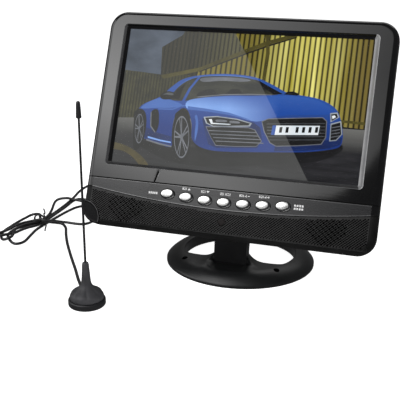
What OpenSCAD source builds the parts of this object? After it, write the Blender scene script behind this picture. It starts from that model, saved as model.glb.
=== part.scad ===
/* Portable television: a tilting flat head on an oval ring stand, with a
   magnetic whip antenna on a thin coax lead. Millimetres, +Z up, +X to the
   viewer's right, the screen faces -Y. The origin is on the floor, straight
   below the tilt axis, in the middle of the post. */

/* [Head] */
// Overall width of the head
head_w = 256; // [250:1:262]
// Overall height of the head, along its tilted face
head_h = 194; // [192:1:198]
// Depth of the head from the bezel's face to the back
head_d = 36; // [35:1:40]
// Outer corner radius of the head
head_r = 16; // [12:1:18]
// Depth of the front housing, up to the parting line
front_d = 10; // [9:0.5:11]
// Wall of the plastic housings
wall = 2.2; // [1.8:0.1:2.4]
// How far the head leans back at rest, in degrees
head_tilt = 25; // [20:1:28]

/* [Screen] */
// Width of the bezel's window at the face
win_w = 224; // [218:1:226]
// Height of the bezel's window at the face
win_h = 127; // [122:1:128]
// Height of the window's lower edge above the head's lower edge
win_z = 54.2; // [53.5:0.1:56]
// Width of the visible picture
view_w = 217; // [210:1:220]
// Height of the visible picture
view_h = 122; // [117:1:124]

/* [Controls] */
// Number of front buttons
button_n = 7; // [5:1:7]
// Distance from one button to the next
button_pitch = 16.8; // [15:0.1:17]
// Width of a button
button_w = 12; // [10:0.5:12.5]
// Height of a button
button_h = 8.2; // [7.5:0.1:9]
// Gap around a button in its hole
button_gap = 0.35; // [0.3:0.05:0.5]
// Height of the groove that tops the control strip
strip_top = 41.6; // [41:0.2:43]
// Height of the strip's curved lower edge at the middle of the head
smile_z = 24; // [23:0.5:25]
// Radius of the strip's curved lower edge
smile_r = 850; // [700:10:1000]

/* [Stand] */
// Half width of the oval stand
base_a = 69; // [66:1:72]
// Half depth of the oval stand
base_b = 65; // [62:1:68]
// Height of the stand's ring around its opening
base_h = 11; // [10:0.5:12]
// Half width of the opening in the stand
hole_a = 51.5; // [49:0.5:53]
// Half depth of the opening, before its front is cut straight
hole_b = 47.5; // [46:0.5:49]
// Half the distance between the two fixing holes
fix_x = 42.5; // [41:0.5:44]
// Place of the fixing holes along Y, measured from the tilt axis
fix_y = -8; // [-9:0.5:0]
// Radius of a fixing hole
fix_r = 2.6; // [1.8:0.1:2.8]
// Width of the post
post_w = 29.5; // [27:0.5:31]
// Height of the tilt axis above the floor
axis_z = 35; // [34:0.5:37]
// Radius of the hinge barrel on top of the post
barrel_r = 7.5; // [7:0.1:8]

/* [Antenna] */
// Centre of the antenna's magnetic foot, left of the stand
ant_x = -96; // [-110:1:-90]
// Centre of the antenna's magnetic foot, in front of the head
ant_y = -101.5; // [-110:0.5:-95]
// Radius of the antenna's magnetic foot
ant_r = 15.5; // [15:0.5:18]
// Overall height of the antenna
ant_h = 170; // [150:1:180]
// Radius of the whip
whip_r = 0.8; // [0.7:0.05:1]
// Diameter of the antenna's coax lead
lead_d = 2.8; // [2.6:0.1:3]

/* [Hidden] */
$fn = 48;
eps = 0.01;

// Stand, derived
base_y = 28;
hole_front = 3.2;
post_front = -9;
pocket_z = 6;
pin_r = 2.2;
pin_clear = 0.05;
barrel_left = -18.3;
ear_t = 3.9;
ear_gap = 0.3;
ear_r = 5.5;
plate_t = 1.6;

// Head, derived: the lower front edge of the face sits here
head_y = -44;
head_z = 47.9;
shoulder = 5;
win_cz = win_z + win_h / 2;
bevel_d = 3.8;
lens_t = 1.2;
lens_y = bevel_d + 0.1;
lcd_y = lens_y + lens_t + 0.1;
lcd_t = 6;
frame_y = lcd_y + lcd_t + 0.1;
axis_back = 45.32;
axis_up = 6.92;
panel_w = 243;
panel_z = 3.8;
panel_t = 2.2;
seam = 0.25;
button_z = 30.7;
button_curve = 530;
cap_x = -127;
cap_z = 4;
cap_r = 16.6;
cap_proud = 1;
speaker_x = 88;
speaker_z = 17.5;
jack_y = 16.6;
switch_z = 35;
plug_x = -104.5;
plug_z = 34;
plug_len = 16;
plug_tip = [plug_x, head_y + (head_d + plug_len) * cos(head_tilt) + plug_z * sin(head_tilt),
    head_z - (head_d + plug_len) * sin(head_tilt) + plug_z * cos(head_tilt)];
plug_dir = [0, cos(head_tilt), -sin(head_tilt)];
screw_x = 120.4;
screw_zs = [46, 116, 183.5];
jack_zs = [56, 70, 84];

// Antenna lead: from the antenna to the tie, and from the plug down to the tie
ant_lead = [
    [-104.6, -91.8, 8.6], [-108, -87.5, 8], [-112, -81, 6.2], [-117, -72.5, 3.6], [-124, -61.5, 1.8],
    [-132, -48.5, 1.4], [-141, -35, 1.4], [-149, -23, 1.4], [-158, -9.5, 1.4], [-167, 5, 1.4],
    [-176, 20, 1.4], [-184, 35.5, 1.4], [-190, 47.5, 1.4], [-195.5, 55, 1.4], [-201, 58.4, 1.4]];
tail_lead = [
    plug_tip, plug_tip + 4 * plug_dir, [-106, 32.5, 47], [-111, 46, 35.5], [-119, 60, 25],
    [-130, 74, 17.5], [-143, 87, 12.5], [-156, 97, 9.8], [-169, 105, 8.4], [-182, 112, 5.4],
    [-194, 116, 2.4], [-203, 114, 1.4], [-209, 107, 1.4], [-212, 95, 1.4], [-213.2, 82, 1.4],
    [-214.2, 69, 1.4], [-215, 59, 1.4]];
lead_r = lead_d / 2;

// Middle lines of the tied hank's strands
tie_at = [-221, 50];
hank_h = 2 * lead_d;
hank_thick = [[-221, 50], [-226, 42], [-231.5, 31], [-234.5, 18], [-235.5, 8]];
hank_loop_a = [
    [-222, 54], [-232, 59], [-239, 54], [-243.5, 48], [-246, 38], [-246, 20], [-243, 9], [-237, 3]];
hank_loop_b = [
    [-218, 48], [-216.5, 33], [-213, 7], [-212.5, -2], [-216, -8], [-223, -5.5], [-232, 3], [-236, 9]];
hank_run = [[-220, 52], [-219.8, 70], [-220, 86], [-221.3, 106], [-222, 122]];
hank_loop_c = [
    [-222, 118], [-223, 130], [-226.5, 143], [-229.5, 157], [-230, 172], [-227.5, 184], [-220, 190],
    [-211, 188], [-204, 178], [-201, 163], [-202, 147], [-207, 136], [-214, 137], [-220, 133],
    [-221.5, 122]];
hank_ring = [
    [-221, 58], [-224, 74], [-229, 88], [-235.5, 105], [-240.5, 120], [-238.5, 129], [-229, 129],
    [-218, 124], [-205, 122.5], [-190, 125], [-176, 120], [-167, 109], [-163.5, 96], [-167, 82],
    [-172.5, 70], [-178, 62], [-189, 60.5], [-200, 61], [-208, 55.5], [-214, 50.5], [-221, 49]];

// ---- helpers ----

// Places head parts: X across, Y into the head from its face, Z up the face
module in_head() {
    translate([0, head_y, head_z]) rotate([-head_tilt, 0, 0]) children();
}

// Extrudes an X-Z outline of the head from depth y0 to y1
module slab(y0, y1) {
    translate([0, y1, 0]) rotate([90, 0, 0]) linear_extrude(y1 - y0) children();
}

// Rounded rectangle, centred on X, standing on z = 0
module rounded(w, h, r) {
    translate([-w / 2 + r, 0]) square([w - 2 * r, h]);
    translate([-w / 2, r]) square([w, h - 2 * r]);
    for (x = [-w / 2 + r, w / 2 - r], z = [r, h - r]) translate([x, z]) circle(r);
}

// Head outline pulled in by d on every side
module head_outline(d) {
    translate([0, d]) rounded(head_w - 2 * d, head_h - 2 * d, head_r - d * 0.8);
}

// Oval with half sizes a and b
module oval(a, b) {
    scale([a / b, 1]) circle(b, $fn = 64);
}

function button_x(i) = (i - (button_n - 1) / 2) * button_pitch;
function arc_rise(x, r) = r - sqrt(r * r - x * x);
function button_height(i) = button_z + arc_rise(button_x(i), button_curve);

// Everything below the strip's curved lower edge, moved up by d
module below_smile(d) {
    translate([0, smile_z + smile_r + d]) difference() {
        translate([-head_w, -smile_r - head_h]) square([2 * head_w, head_h + 40]);
        circle(smile_r, $fn = 360);
    }
}

// Sweeps a round section with n sides along the points
function unit(v) = v / norm(v);
function dir_at(p, i) = unit(p[min(i + 1, len(p) - 1)] - p[max(i - 1, 0)]);
function ring_at(p, i, r, n) = let (
    t = dir_at(p, i),
    s = unit(cross(t, abs(t[2]) > 0.9 ? [1, 0, 0] : [0, 0, 1])),
    u = cross(s, t)) [for (k = [0:n - 1]) p[i] + r * (cos(360 * k / n) * s + sin(360 * k / n) * u)];

module tube(p, r, n = 8) {
    m = len(p);
    pts = [for (i = [0:m - 1]) each ring_at(p, i, r, n)];
    sides = [for (i = [0:m - 2], k = [0:n - 1]) each [
        [i * n + k, i * n + (k + 1) % n, (i + 1) * n + k],
        [i * n + (k + 1) % n, (i + 1) * n + (k + 1) % n, (i + 1) * n + k]]];
    polyhedron(pts, concat(sides,
        [[for (k = [n - 1:-1:0]) k]], [[for (k = [0:n - 1]) (m - 1) * n + k]]));
}

// Catmull-Rom point between p[i] and p[i + 1]
function curve_point(p, i, t) = let (
    a = p[max(i - 1, 0)], b = p[i], c = p[i + 1], d = p[min(i + 2, len(p) - 1)])
    0.5 * (2 * b + (c - a) * t + (2 * a - 5 * b + 4 * c - d) * t * t
        + (3 * b - a - 3 * c + d) * t * t * t);
function smooth(p, n) = [
    for (i = [0:len(p) - 2], k = [0:n - 1]) curve_point(p, i, k / n), p[len(p) - 1]];

// Flat stroke of width w along a line of points, with round joints
module stroke(p, w) {
    for (i = [0:len(p) - 2]) {
        v = p[i + 1] - p[i];
        translate(p[i]) rotate(atan2(v[1], v[0])) translate([0, -w / 2]) square([norm(v), w]);
    }
    for (q = p) translate(q) circle(w / 2, $fn = 12);
}

// ---- stand ----

module base_oval(d) {
    translate([0, base_y]) scale([(base_a - d) / (base_b - d), 1]) circle(base_b - d, $fn = 96);
}

// D-shaped opening: an oval whose front is cut straight, grown by d, with sharp corners
module base_opening(d) {
    intersection() {
        translate([0, base_y]) scale([(hole_a + d) / (hole_b + d), 1]) circle(hole_b + d, $fn = 96);
        translate([-60, hole_front - d]) square([120, 100]);
    }
}

// Side fillets that rise from the ring to the post
module saddle_front_view() {
    fillet = 25;
    start = 33;
    top = 20;
    difference() {
        translate([-start, 0]) square([2 * start, top]);
        for (s = [-1, 1]) translate([s * start, base_h + fillet - 0.6]) circle(fillet, $fn = 96);
    }
}

module saddle_side_view() {
    polygon([[-30, 0], [-30, 5.5], [-24, 8.4], [-17, 10.4], [-11.5, 11.4],
        [post_front - 0.6, 12.6], [post_front, 20], [hole_front, 20], [hole_front, 0]]);
}

module base_dome() {
    hull() for (q = [[0, 0], [0.2, 2.4], [1.6, 4.4], [5, 7.3], [10, 9.7], [15, base_h]])
        translate([0, 0, q[1]]) linear_extrude(eps) base_oval(q[0]);
}

module base_shell() {
    color("#1c1d1e") difference() {
        union() {
            base_dome();
            intersection() {
                translate([0, 20, 0]) rotate([90, 0, 0]) linear_extrude(60) saddle_front_view();
                translate([-40, 0, 0]) rotate([90, 0, 90]) linear_extrude(80) saddle_side_view();
            }
        }
        translate([0, 0, -1]) linear_extrude(40) offset(r = 8, $fn = 64) offset(delta = -8) base_opening(0);
        // room for the bottom plate and the hollow above it
        translate([0, 0, -eps]) linear_extrude(plate_t + eps) base_oval(1.6);
        difference() {
            translate([0, 0, plate_t]) linear_extrude(2.2) base_oval(4.5);
            linear_extrude(8) base_opening(1.8);
        }
        difference() {
            translate([0, 0, 3.8]) linear_extrude(2.4) base_oval(11);
            linear_extrude(8) base_opening(1.8);
            translate([-post_w / 2 - 4, post_front - 4, 0]) cube([post_w + 8, 20, 8]);
        }
        // pocket for the post's foot
        translate([-post_w / 2, post_front, pocket_z]) cube([post_w, hole_front - post_front + 1, 30]);
        for (s = [-1, 1]) {
            translate([s * fix_x, fix_y, -1]) cylinder(r = fix_r, h = 20);
            translate([s * 8, -3, -1]) cylinder(r = 1.6, h = 20);
        }
    }
}

module base_plate() {
    color("#222324") difference() {
        linear_extrude(plate_t) difference() {
            base_oval(1.8);
            base_opening(1.8);
        }
        for (s = [-1, 1]) {
            translate([s * fix_x, fix_y, -1]) cylinder(r = fix_r, h = 5);
            translate([s * 8, -3, -1]) cylinder(r = 3.2, h = 5);
        }
        pad_places() translate([0, 0, -eps]) cylinder(r = 5, h = 1 + eps);
        plate_screw_places() translate([0, 0, -1]) cylinder(r = 1.1, h = 4);
        plate_screw_places() translate([0, 0, -1]) cylinder(r = 2.1, h = 1.8);
    }
}

module pad_places() {
    for (a = [-52, -128, 52, 128])
        translate([(base_a - 9) * cos(a), base_y + (base_b - 9) * sin(a), 0]) children();
}

module plate_screw_places() {
    for (a = [-20, 90, 200])
        translate([(base_a - 8.6) * cos(a), base_y + (base_b - 8.6) * sin(a), 0]) children();
}

module base_pads() {
    color("#3a3a3c") pad_places() cylinder(r = 5, h = 1);
}

module base_screws() {
    color("silver") plate_screw_places() {
        translate([0, 0, 0.05]) cylinder(r = 2.1, h = 0.75);
        translate([0, 0, 0.8]) cylinder(r = 1.1, h = 2.9);
    }
}

module post() {
    color("#191a1b") difference() {
        union() {
            translate([-post_w / 2, 0, 0]) rotate([90, 0, 90]) linear_extrude(post_w)
                polygon([[post_front, pocket_z], [post_front, 12], [-barrel_r + 0.6, axis_z],
                    [0, axis_z], [5.5, axis_z - 4], [hole_front, 20], [hole_front, pocket_z]]);
            translate([barrel_left, 0, axis_z]) rotate([0, 90, 0])
                cylinder(r = barrel_r, h = post_w / 2 - barrel_left, $fn = 64);
        }
        translate([-30, 0, axis_z]) rotate([0, 90, 0]) cylinder(r = pin_r, h = 60);
        for (s = [-1, 1]) translate([s * 8, -3, pocket_z - 1]) cylinder(r = 1.25, h = 15);
    }
}

module post_screws() {
    color("silver") for (s = [-1, 1]) translate([s * 8, -3, 0]) {
        translate([0, 0, 0.3]) cylinder(r = 3, h = 1.3);
        translate([0, 0, 1.6]) cylinder(r = 1.25, h = 16);
    }
}

module hinge_pin() {
    color("lightgray") translate([-25.5, 0, axis_z]) rotate([0, 90, 0]) cylinder(r = pin_r, h = 47.3);
    color("lightgray") translate([-27, 0, axis_z]) rotate([0, 90, 0]) cylinder(r = 3.6, h = 1.5);
}

module friction_washers() {
    color("gray") for (x = [-24.6, -23.5]) translate([x, 0, axis_z]) rotate([0, 90, 0]) difference() {
        cylinder(r = 4.6, h = 0.8);
        translate([0, 0, -1]) cylinder(r = pin_r, h = 3);
    }
}

// ---- antenna ----

module on_antenna() {
    translate([ant_x, ant_y, 0]) children();
}

module antenna_foot() {
    color("#161617") on_antenna() rotate_extrude($fn = 64)
        polygon([[12, 0], [ant_r - 1, 0], [ant_r, 1], [ant_r, 2.7], [ant_r - 0.8, 3.5],
            [0, 3.5], [0, 2.4], [12, 2.4]]);
}

module antenna_magnet() {
    color("dimgray") on_antenna() cylinder(r = 12, h = 2.4);
}

module antenna_skirt() {
    color("#1b1b1d") on_antenna() difference() {
        rotate_extrude($fn = 64) polygon([[0, 3.5], [13.8, 3.5], [13.8, 7.5], [13.4, 9.3],
            [10.6, 12.6], [8, 14.5], [6.9, 16.2], [5.4, 18], [4.5, 19.4], [3.95, 25], [3, 34],
            [2.6, 36.6], [1.8, 37.6], [0, 37.6]]);
        translate([0, 0, 20]) cylinder(r = whip_r, h = 30);
    }
}

module antenna_whip() {
    color("#2a2a2c") on_antenna() translate([0, 0, 20]) cylinder(r = whip_r, h = ant_h - 24);
}

module antenna_tip() {
    color("#141415") on_antenna() difference() {
        translate([0, 0, ant_h - 13.2]) rotate_extrude() polygon([[0, 0], [2, 0], [2.2, 0.8],
            [1.7, 11.6], [1.3, 12.7], [0.6, 13.2], [0, 13.2]]);
        translate([0, 0, ant_h - 20]) cylinder(r = whip_r, h = 16);
    }
}

// ---- antenna lead ----

module lead_tube() {
    color("#2b2c2d") tube(smooth(ant_lead, 2), lead_r);
}

module lead_tail() {
    color("#2b2c2d") tube(smooth(tail_lead, 2), lead_r);
}

module tie_place() {
    translate(tie_at) rotate(85) children();
}

module lead_hank() {
    color("#29292b") difference() {
        linear_extrude(hank_h) {
            stroke(hank_thick, 2.5 * lead_d);
            stroke(hank_run, 2.2 * lead_d);
            for (p = [hank_loop_a, hank_loop_b, hank_loop_c, hank_ring]) stroke(p, lead_d);
            translate(tie_at) circle(6.5);
        }
        tie_place() translate([-2, -7.2, -1]) difference() {
            cube([4, 14.4, 10]);
            translate([-1, 2.2, 1.9]) cube([6, 10, 3.8]);
        }
    }
}

module hank_tie() {
    color("#202022") tie_place() translate([-2, -7.2, 0]) difference() {
        cube([4, 14.4, 7.2]);
        translate([-1, 2.2, 0.9]) cube([6, 10, 3.8]);
    }
}

// ---- head housing ----

module front_bezel() {
    color("#232425") in_head() difference() {
        hull() {
            slab(0, eps) head_outline(shoulder);
            slab(0.7, 0.7 + eps) head_outline(2.6);
            slab(2.6, 2.6 + eps) head_outline(0.7);
            slab(5.4, front_d) head_outline(0);
        }
        difference() {
            slab(2.4, front_d + 1) head_outline(wall + 0.4);
            slab(0, bevel_d) translate([0, win_z - 4]) rounded(win_w + 8, win_h + 8, 5);
            slab(0, 4) panel_area(-3);
            screw_places() rotate([90, 0, 0]) translate([0, 0, -front_d]) cylinder(r = 3.2, h = front_d);
        }
        screw_places() rotate([90, 0, 0]) translate([0, 0, -front_d - 1]) cylinder(r = 1.1, h = front_d - 2);
        hull() {
            slab(-1, -1 + eps) translate([0, win_z - 0.9]) rounded(win_w + 1.8, win_h + 1.8, 4);
            slab(bevel_d, bevel_d + eps) translate([0, win_cz - view_h / 2]) rounded(view_w, view_h, 1);
        }
        slab(bevel_d - 1, 12) translate([0, win_cz - view_h / 2]) square_centred(view_w, view_h);
        slab(-1, panel_t) panel_area(0);
        slab(panel_t - 1, 5) panel_area(2.5);
        slab(-2, 2) corner_cap_outline(0.15);
    }
}

module square_centred(w, h) {
    translate([-w / 2, 0]) square([w, h]);
}

module screw_places() {
    for (s = [-1, 1], z = screw_zs) translate([s * screw_x, 0, z]) children();
}

// The recess in the face that holds the control strip and the grille
module panel_area(d) {
    translate([0, panel_z + d]) rounded(panel_w - 2 * d, strip_top - panel_z - 2 * d, 4);
}

module control_panel() {
    color("#27282a") in_head() slab(0, panel_t) difference() {
        panel_area(seam / 2);
        below_smile(seam / 2);
        for (i = [0:button_n - 1]) translate([button_x(i), button_height(i)])
            oval(button_w / 2 + button_gap, button_h / 2 + button_gap);
    }
}

module speaker_grille() {
    color("#1d1e1e") in_head() difference() {
        slab(0, panel_t) difference() {
            intersection() {
                panel_area(seam / 2);
                below_smile(-seam / 2);
            }
            corner_cap_outline(0.15);
            translate([0, 14.5]) rotate(45) square(5.4, center = true);
        }
        slab(-1, 3) for (s = [-1, 1]) translate([s * speaker_x, speaker_z]) grille_holes();
    }
}

// Diamond lattice of diamond holes over one speaker
module grille_holes() {
    pitch = 3.4;
    for (i = [-4:4], j = [-4:4]) {
        x = (i + j) * pitch / 2 * 1.15;
        z = (i - j) * pitch / 2 * 0.9;
        if (abs(x) < 16 && abs(z) < 9 && abs(x) + 1.5 * abs(z) < 20)
            translate([x, z]) rotate(45) square(1.3, center = true);
    }
}

module corner_cap_outline(d) {
    intersection() {
        translate([cap_x, cap_z]) circle(cap_r + d, $fn = 96);
        translate([0, -d]) rounded(head_w + 2 * d - 0.6, head_h, head_r - 0.3);
    }
}

module corner_cap() {
    color("#2c2c30") in_head() slab(-cap_proud, 2) corner_cap_outline(0);
}

module ir_window() {
    color("#3d1a20") in_head() slab(-0.2, 4) translate([0, 14.5]) rotate(45) square(5.3, center = true);
}

// Straight side up to `straight`, then tapering to the back
module rear_form(d) {
    straight = 21;
    hull() {
        slab(front_d - (d > 0 ? 1 : 0), straight) head_outline(0.8 + d);
        slab(27, 27 + eps) head_outline(3.4 + d);
        slab(32.5 - d * 0.6, 32.5 - d * 0.6 + eps) head_outline(8 + d);
        slab(head_d - d - eps, head_d - d) head_outline(14 + d);
    }
}

module rear_cover() {
    color("#1a1b1c") in_head() difference() {
        rear_form(0);
        difference() {
            rear_form(wall);
            screw_places() rotate([90, 0, 0]) translate([0, 0, -40]) cylinder(r = 4.4, h = 30);
        }
        screw_places() rotate([90, 0, 0]) translate([0, 0, -50]) cylinder(r = 2.9, h = 34);
        screw_places() rotate([90, 0, 0]) translate([0, 0, -30]) cylinder(r = 1.35, h = 30);
        for (s = [-1, 1], k = [0:7]) translate([s * 62 - 22, 30, 126 + 5 * k]) cube([44, 10, 2]);
        for (s = [-1, 1], k = [0:4]) translate([s * 78 - 15, 28, 24 + 5 * k]) cube([30, 12, 2]);
        translate([plug_x, head_d - 6, plug_z]) rotate([-90, 0, 0]) cylinder(r = 4, h = 10);
        for (z = jack_zs) translate([-head_w / 2 - 2, jack_y, z]) rotate([0, 90, 0])
            cylinder(r = 3.8, h = 10);
        translate([-head_w / 2 - 2, jack_y - 1.6, switch_z - 4.5]) cube([8, 3.2, 9]);
        bracket_screw_places() rotate([90, 0, 0]) translate([0, 0, -40]) cylinder(r = 1.25, h = 8);
    }
}

module housing_screws() {
    color("silver") in_head() screw_places() rotate([90, 0, 0]) {
        translate([0, 0, -18]) cylinder(r = 2.7, h = 2);
        translate([0, 0, -16]) cylinder(r = 1.1, h = 12.5);
    }
}

// ---- screen ----

module screen_lens() {
    color("#5d6a74") in_head() slab(lens_y, lens_y + lens_t)
        translate([0, win_cz - 64.5]) square_centred(226, 129);
}

module lcd_panel() {
    color("#20242a") in_head() slab(lcd_y, lcd_y + lcd_t)
        translate([0, win_cz - 66]) square_centred(229, 132);
}

module lcd_frame() {
    color("silver") in_head() difference() {
        slab(frame_y, frame_y + 1) translate([0, win_cz - 66]) square_centred(229, 132);
        for (s = [-1, 1]) slab(frame_y - 1, frame_y + 3) translate([s * 55, win_cz - 34])
            square_centred(70, 56);
    }
}

// ---- electronics ----

module main_board() {
    color("darkgreen") in_head() {
        translate([-62, 20, 62]) cube([104, 1.6, 86]);
        translate([-30, 21.6, 92]) cube([22, 1.6, 22]);
        translate([10, 21.6, 100]) cube([14, 1.4, 20]);
        translate([-52, 21.6, 70]) cube([10, 6, 14]);
        for (x = [18, 27]) translate([x, 21.6, 74]) rotate([-90, 0, 0]) cylinder(r = 3.2, h = 7);
        for (x = [-54, 34], z = [66, 144]) translate([x, 20, z]) rotate([90, 0, 0])
            cylinder(r = 1.8, h = 19 - frame_y);
    }
}

module tuner_can() {
    color("lightgray") in_head() translate([-108, 14.5, 104]) cube([36, 12, 52]);
}

module inverter_board() {
    color("darkgreen") in_head() {
        translate([-50, 16, 158]) cube([96, 1.6, 16]);
        translate([-30, 17.6, 161]) cube([18, 5, 10]);
        for (x = [-48, 41]) translate([x, frame_y + 1, 160]) cube([4, 15 - frame_y, 4]);
    }
}

module battery_pack() {
    color("#2d4a7a") in_head() translate([50, 14.5, 60]) slab(0, 15) rounded_from(58, 76, 5);
}

module rounded_from(w, h, r) {
    translate([w / 2, 0]) rounded(w, h, r);
}

module key_board() {
    color("darkgreen") in_head() {
        translate([-66, 8.2, 26.5]) cube([132, 1.2, 12]);
        for (i = [0:button_n - 1]) translate([button_x(i) - 2.5, 6.8, button_height(i) - 2.5])
            cube([5, 1.4, 5]);
        for (x = [-65, 61]) translate([x, panel_t, 33]) cube([4, 8.2 - panel_t, 4]);
    }
}

module speaker(x) {
    color("#3b3b3d") in_head() translate([x, 0, speaker_z]) rotate([-90, 0, 0]) {
        translate([0, 0, panel_t + 0.1]) cylinder(r = 11, h = 2.2);
        translate([0, 0, panel_t + 2.3]) cylinder(r1 = 10.5, r2 = 8, h = 4);
        translate([0, 0, panel_t + 6.3]) cylinder(r = 8, h = 5);
    }
}

module speaker_left() {
    speaker(-speaker_x);
}

module speaker_right() {
    speaker(speaker_x);
}

// Round panel jack through the left side, seen along X
module side_jack(z, bore_r, body_w) {
    translate([-head_w / 2 + 0.8, jack_y, z]) rotate([0, 90, 0]) difference() {
        union() {
            cylinder(r = 3.8, h = 4);
            translate([-body_w / 2, -body_w / 2, 3]) cube([body_w, body_w, 11]);
        }
        translate([0, 0, -1]) cylinder(r = bore_r, h = 13);
    }
}

module antenna_jack() {
    color("goldenrod") in_head() translate([plug_x, head_d, plug_z]) rotate([90, 0, 0]) {
        cylinder(r = 4, h = 4);
        translate([-4, -4, 4]) cube([8, 8, 6]);
    }
}

module dc_jack() {
    color("#151515") in_head() side_jack(jack_zs[0], 2.75, 8);
    color("silver") in_head() translate([-head_w / 2 + 1.8, jack_y, jack_zs[0]]) rotate([0, 90, 0])
        cylinder(r = 0.65, h = 11.5);
}

module phone_jack() {
    color("#151515") in_head() side_jack(jack_zs[1], 1.8, 8);
}

module av_jack() {
    color("gold") in_head() side_jack(jack_zs[2], 1.8, 8);
}

module switch_housing() {
    color("silver") in_head() difference() {
        translate([-head_w / 2 + 3.2, jack_y - 4, switch_z - 7]) cube([7, 8, 13.4]);
        translate([-head_w / 2 + 3, jack_y - 1.7, switch_z - 5.2]) cube([4, 3.4, 10.4]);
    }
}

module power_switch() {
    color("#2e2e30") in_head() translate([-head_w / 2 - 0.8, jack_y - 1.3, switch_z - 4])
        cube([7.2, 2.6, 4]);
}

// ---- hinge on the head ----

module bracket_screw_places() {
    for (x = [-12, 12], z = [24, 36]) translate([x, 0, z]) children();
}

module hinge_bracket() {
    color("#1b1c1d") in_head() difference() {
        union() {
            translate([-25, head_d, 17]) cube([50, 2.4, 25]);
            for (x = [barrel_left - ear_gap - ear_t, post_w / 2 + ear_gap]) translate([x, 0, 0])
                rotate([90, 0, 90]) linear_extrude(ear_t) union() {
                    polygon([[head_d, 17], [head_d, 38], [head_d + 4, 36],
                        [axis_back + ear_r * 0.86, axis_up + ear_r * 0.5],
                        [axis_back - ear_r * 0.86, axis_up - ear_r * 0.5]]);
                    translate([axis_back, axis_up]) circle(ear_r);
                }
        }
        translate([-40, axis_back, axis_up]) rotate([0, 90, 0]) cylinder(r = pin_r + pin_clear, h = 80);
        bracket_screw_places() translate([0, head_d - 1, 0]) rotate([-90, 0, 0]) cylinder(r = 1.25, h = 5);
    }
}

module bracket_screws() {
    color("silver") in_head() bracket_screw_places() {
        translate([0, head_d + 2.4, 0]) rotate([-90, 0, 0]) cylinder(r = 2.4, h = 1.3);
        translate([0, head_d - 3.6, 0]) rotate([-90, 0, 0]) cylinder(r = 1.25, h = 6);
    }
}

// ---- plug and buttons ----

module antenna_plug() {
    color("#242426") in_head() translate([plug_x, head_d, plug_z]) rotate([-90, 0, 0])
        rotate_extrude() polygon([[0, 0], [3.6, 0], [3.8, 0.6], [3.8, 8], [3.2, 10], [2.2, 12.5],
            [1.8, plug_len], [0, plug_len]]);
}

module button(i) {
    color("#d9dadc") in_head() translate([button_x(i), 0, button_height(i)]) {
        hull() {
            slab(-1.9, -1.9 + eps) oval(button_w * 0.2, button_h * 0.2);
            slab(-1.6, -1.6 + eps) oval(button_w * 0.36, button_h * 0.36);
            slab(-0.8, 3.2) oval(button_w / 2, button_h / 2);
        }
        slab(2.5, 3.6) oval(button_w / 2 + 1, button_h / 2 + 1);
        slab(3.6, 5.5) circle(1.6, $fn = 32);
    }
}

module button_1() { button(0); }
module button_2() { button(1); }
module button_3() { button(2); }
module button_4() { button(3); }
module button_5() { button(4); }
module button_6() { button(5); }
module button_7() { button(6); }

base_shell();
base_plate();
base_pads();
base_screws();
post();
post_screws();
hinge_pin();
friction_washers();
antenna_foot();
antenna_magnet();
antenna_skirt();
antenna_whip();
antenna_tip();
lead_tube();
lead_hank();
hank_tie();
front_bezel();
rear_cover();
control_panel();
speaker_grille();
corner_cap();
ir_window();
screen_lens();
lcd_panel();
lcd_frame();
main_board();
tuner_can();
inverter_board();
battery_pack();
key_board();
speaker_left();
speaker_right();
antenna_jack();
dc_jack();
phone_jack();
av_jack();
switch_housing();
housing_screws();
hinge_bracket();
bracket_screws();
antenna_plug();
lead_tail();
button_1();
button_2();
button_3();
button_4();
button_5();
button_6();
button_7();
power_switch();
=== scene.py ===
"""Looks of a portable television: a tilting flat head on an oval ring stand, with a magnetic
whip antenna on a tied coax lead. The head's pieces are made in the head's own frame:
X across, Y into the head from its face, Z up the face. Sizes are written in millimetres."""
import math

import bmesh
import bpy
from mathutils import Matrix, Vector


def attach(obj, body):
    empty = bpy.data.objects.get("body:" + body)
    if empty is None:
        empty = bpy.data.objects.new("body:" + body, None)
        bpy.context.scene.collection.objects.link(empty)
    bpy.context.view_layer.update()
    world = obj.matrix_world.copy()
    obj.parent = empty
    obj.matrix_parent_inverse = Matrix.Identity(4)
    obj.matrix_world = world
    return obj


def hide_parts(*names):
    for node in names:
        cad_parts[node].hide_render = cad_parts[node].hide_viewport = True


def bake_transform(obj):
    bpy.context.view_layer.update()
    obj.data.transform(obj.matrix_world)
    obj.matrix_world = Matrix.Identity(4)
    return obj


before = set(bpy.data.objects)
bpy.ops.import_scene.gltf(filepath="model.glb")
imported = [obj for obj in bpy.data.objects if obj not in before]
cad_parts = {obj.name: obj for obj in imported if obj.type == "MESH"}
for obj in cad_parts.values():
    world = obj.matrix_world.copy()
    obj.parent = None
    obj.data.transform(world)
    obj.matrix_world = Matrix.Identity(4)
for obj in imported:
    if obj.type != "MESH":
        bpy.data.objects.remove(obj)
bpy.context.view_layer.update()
MM = 0.001
TILT = math.radians(25)
SIN, COS = math.sin(TILT), math.cos(TILT)
# the lower front edge of the face, in metres
HEAD_Y, HEAD_Z = -0.044, 0.0479
HEAD = Matrix(((1, 0, 0, 0), (0, COS, SIN, HEAD_Y), (0, -SIN, COS, HEAD_Z), (0, 0, 0, 1)))
WORLD = Matrix.Identity(4)
scene = bpy.context.scene
M = {}


# ---- mesh helpers ----

def smoothed(points, steps, closed=False):
    """Catmull-Rom line through the points."""
    points = [Vector(p) for p in points]
    last = len(points) - 1
    line = []
    for i in range(last + 1 if closed else last):
        a, b, c, d = (points[k % (last + 1) if closed else min(max(k, 0), last)]
                      for k in range(i - 1, i + 3))
        for k in range(steps):
            t = k / steps
            line.append(0.5 * (2 * b + (c - a) * t + (2 * a - 5 * b + 4 * c - d) * t * t
                               + (3 * b - a - 3 * c + d) * t ** 3))
    return line if closed else line + [points[-1]]


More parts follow.
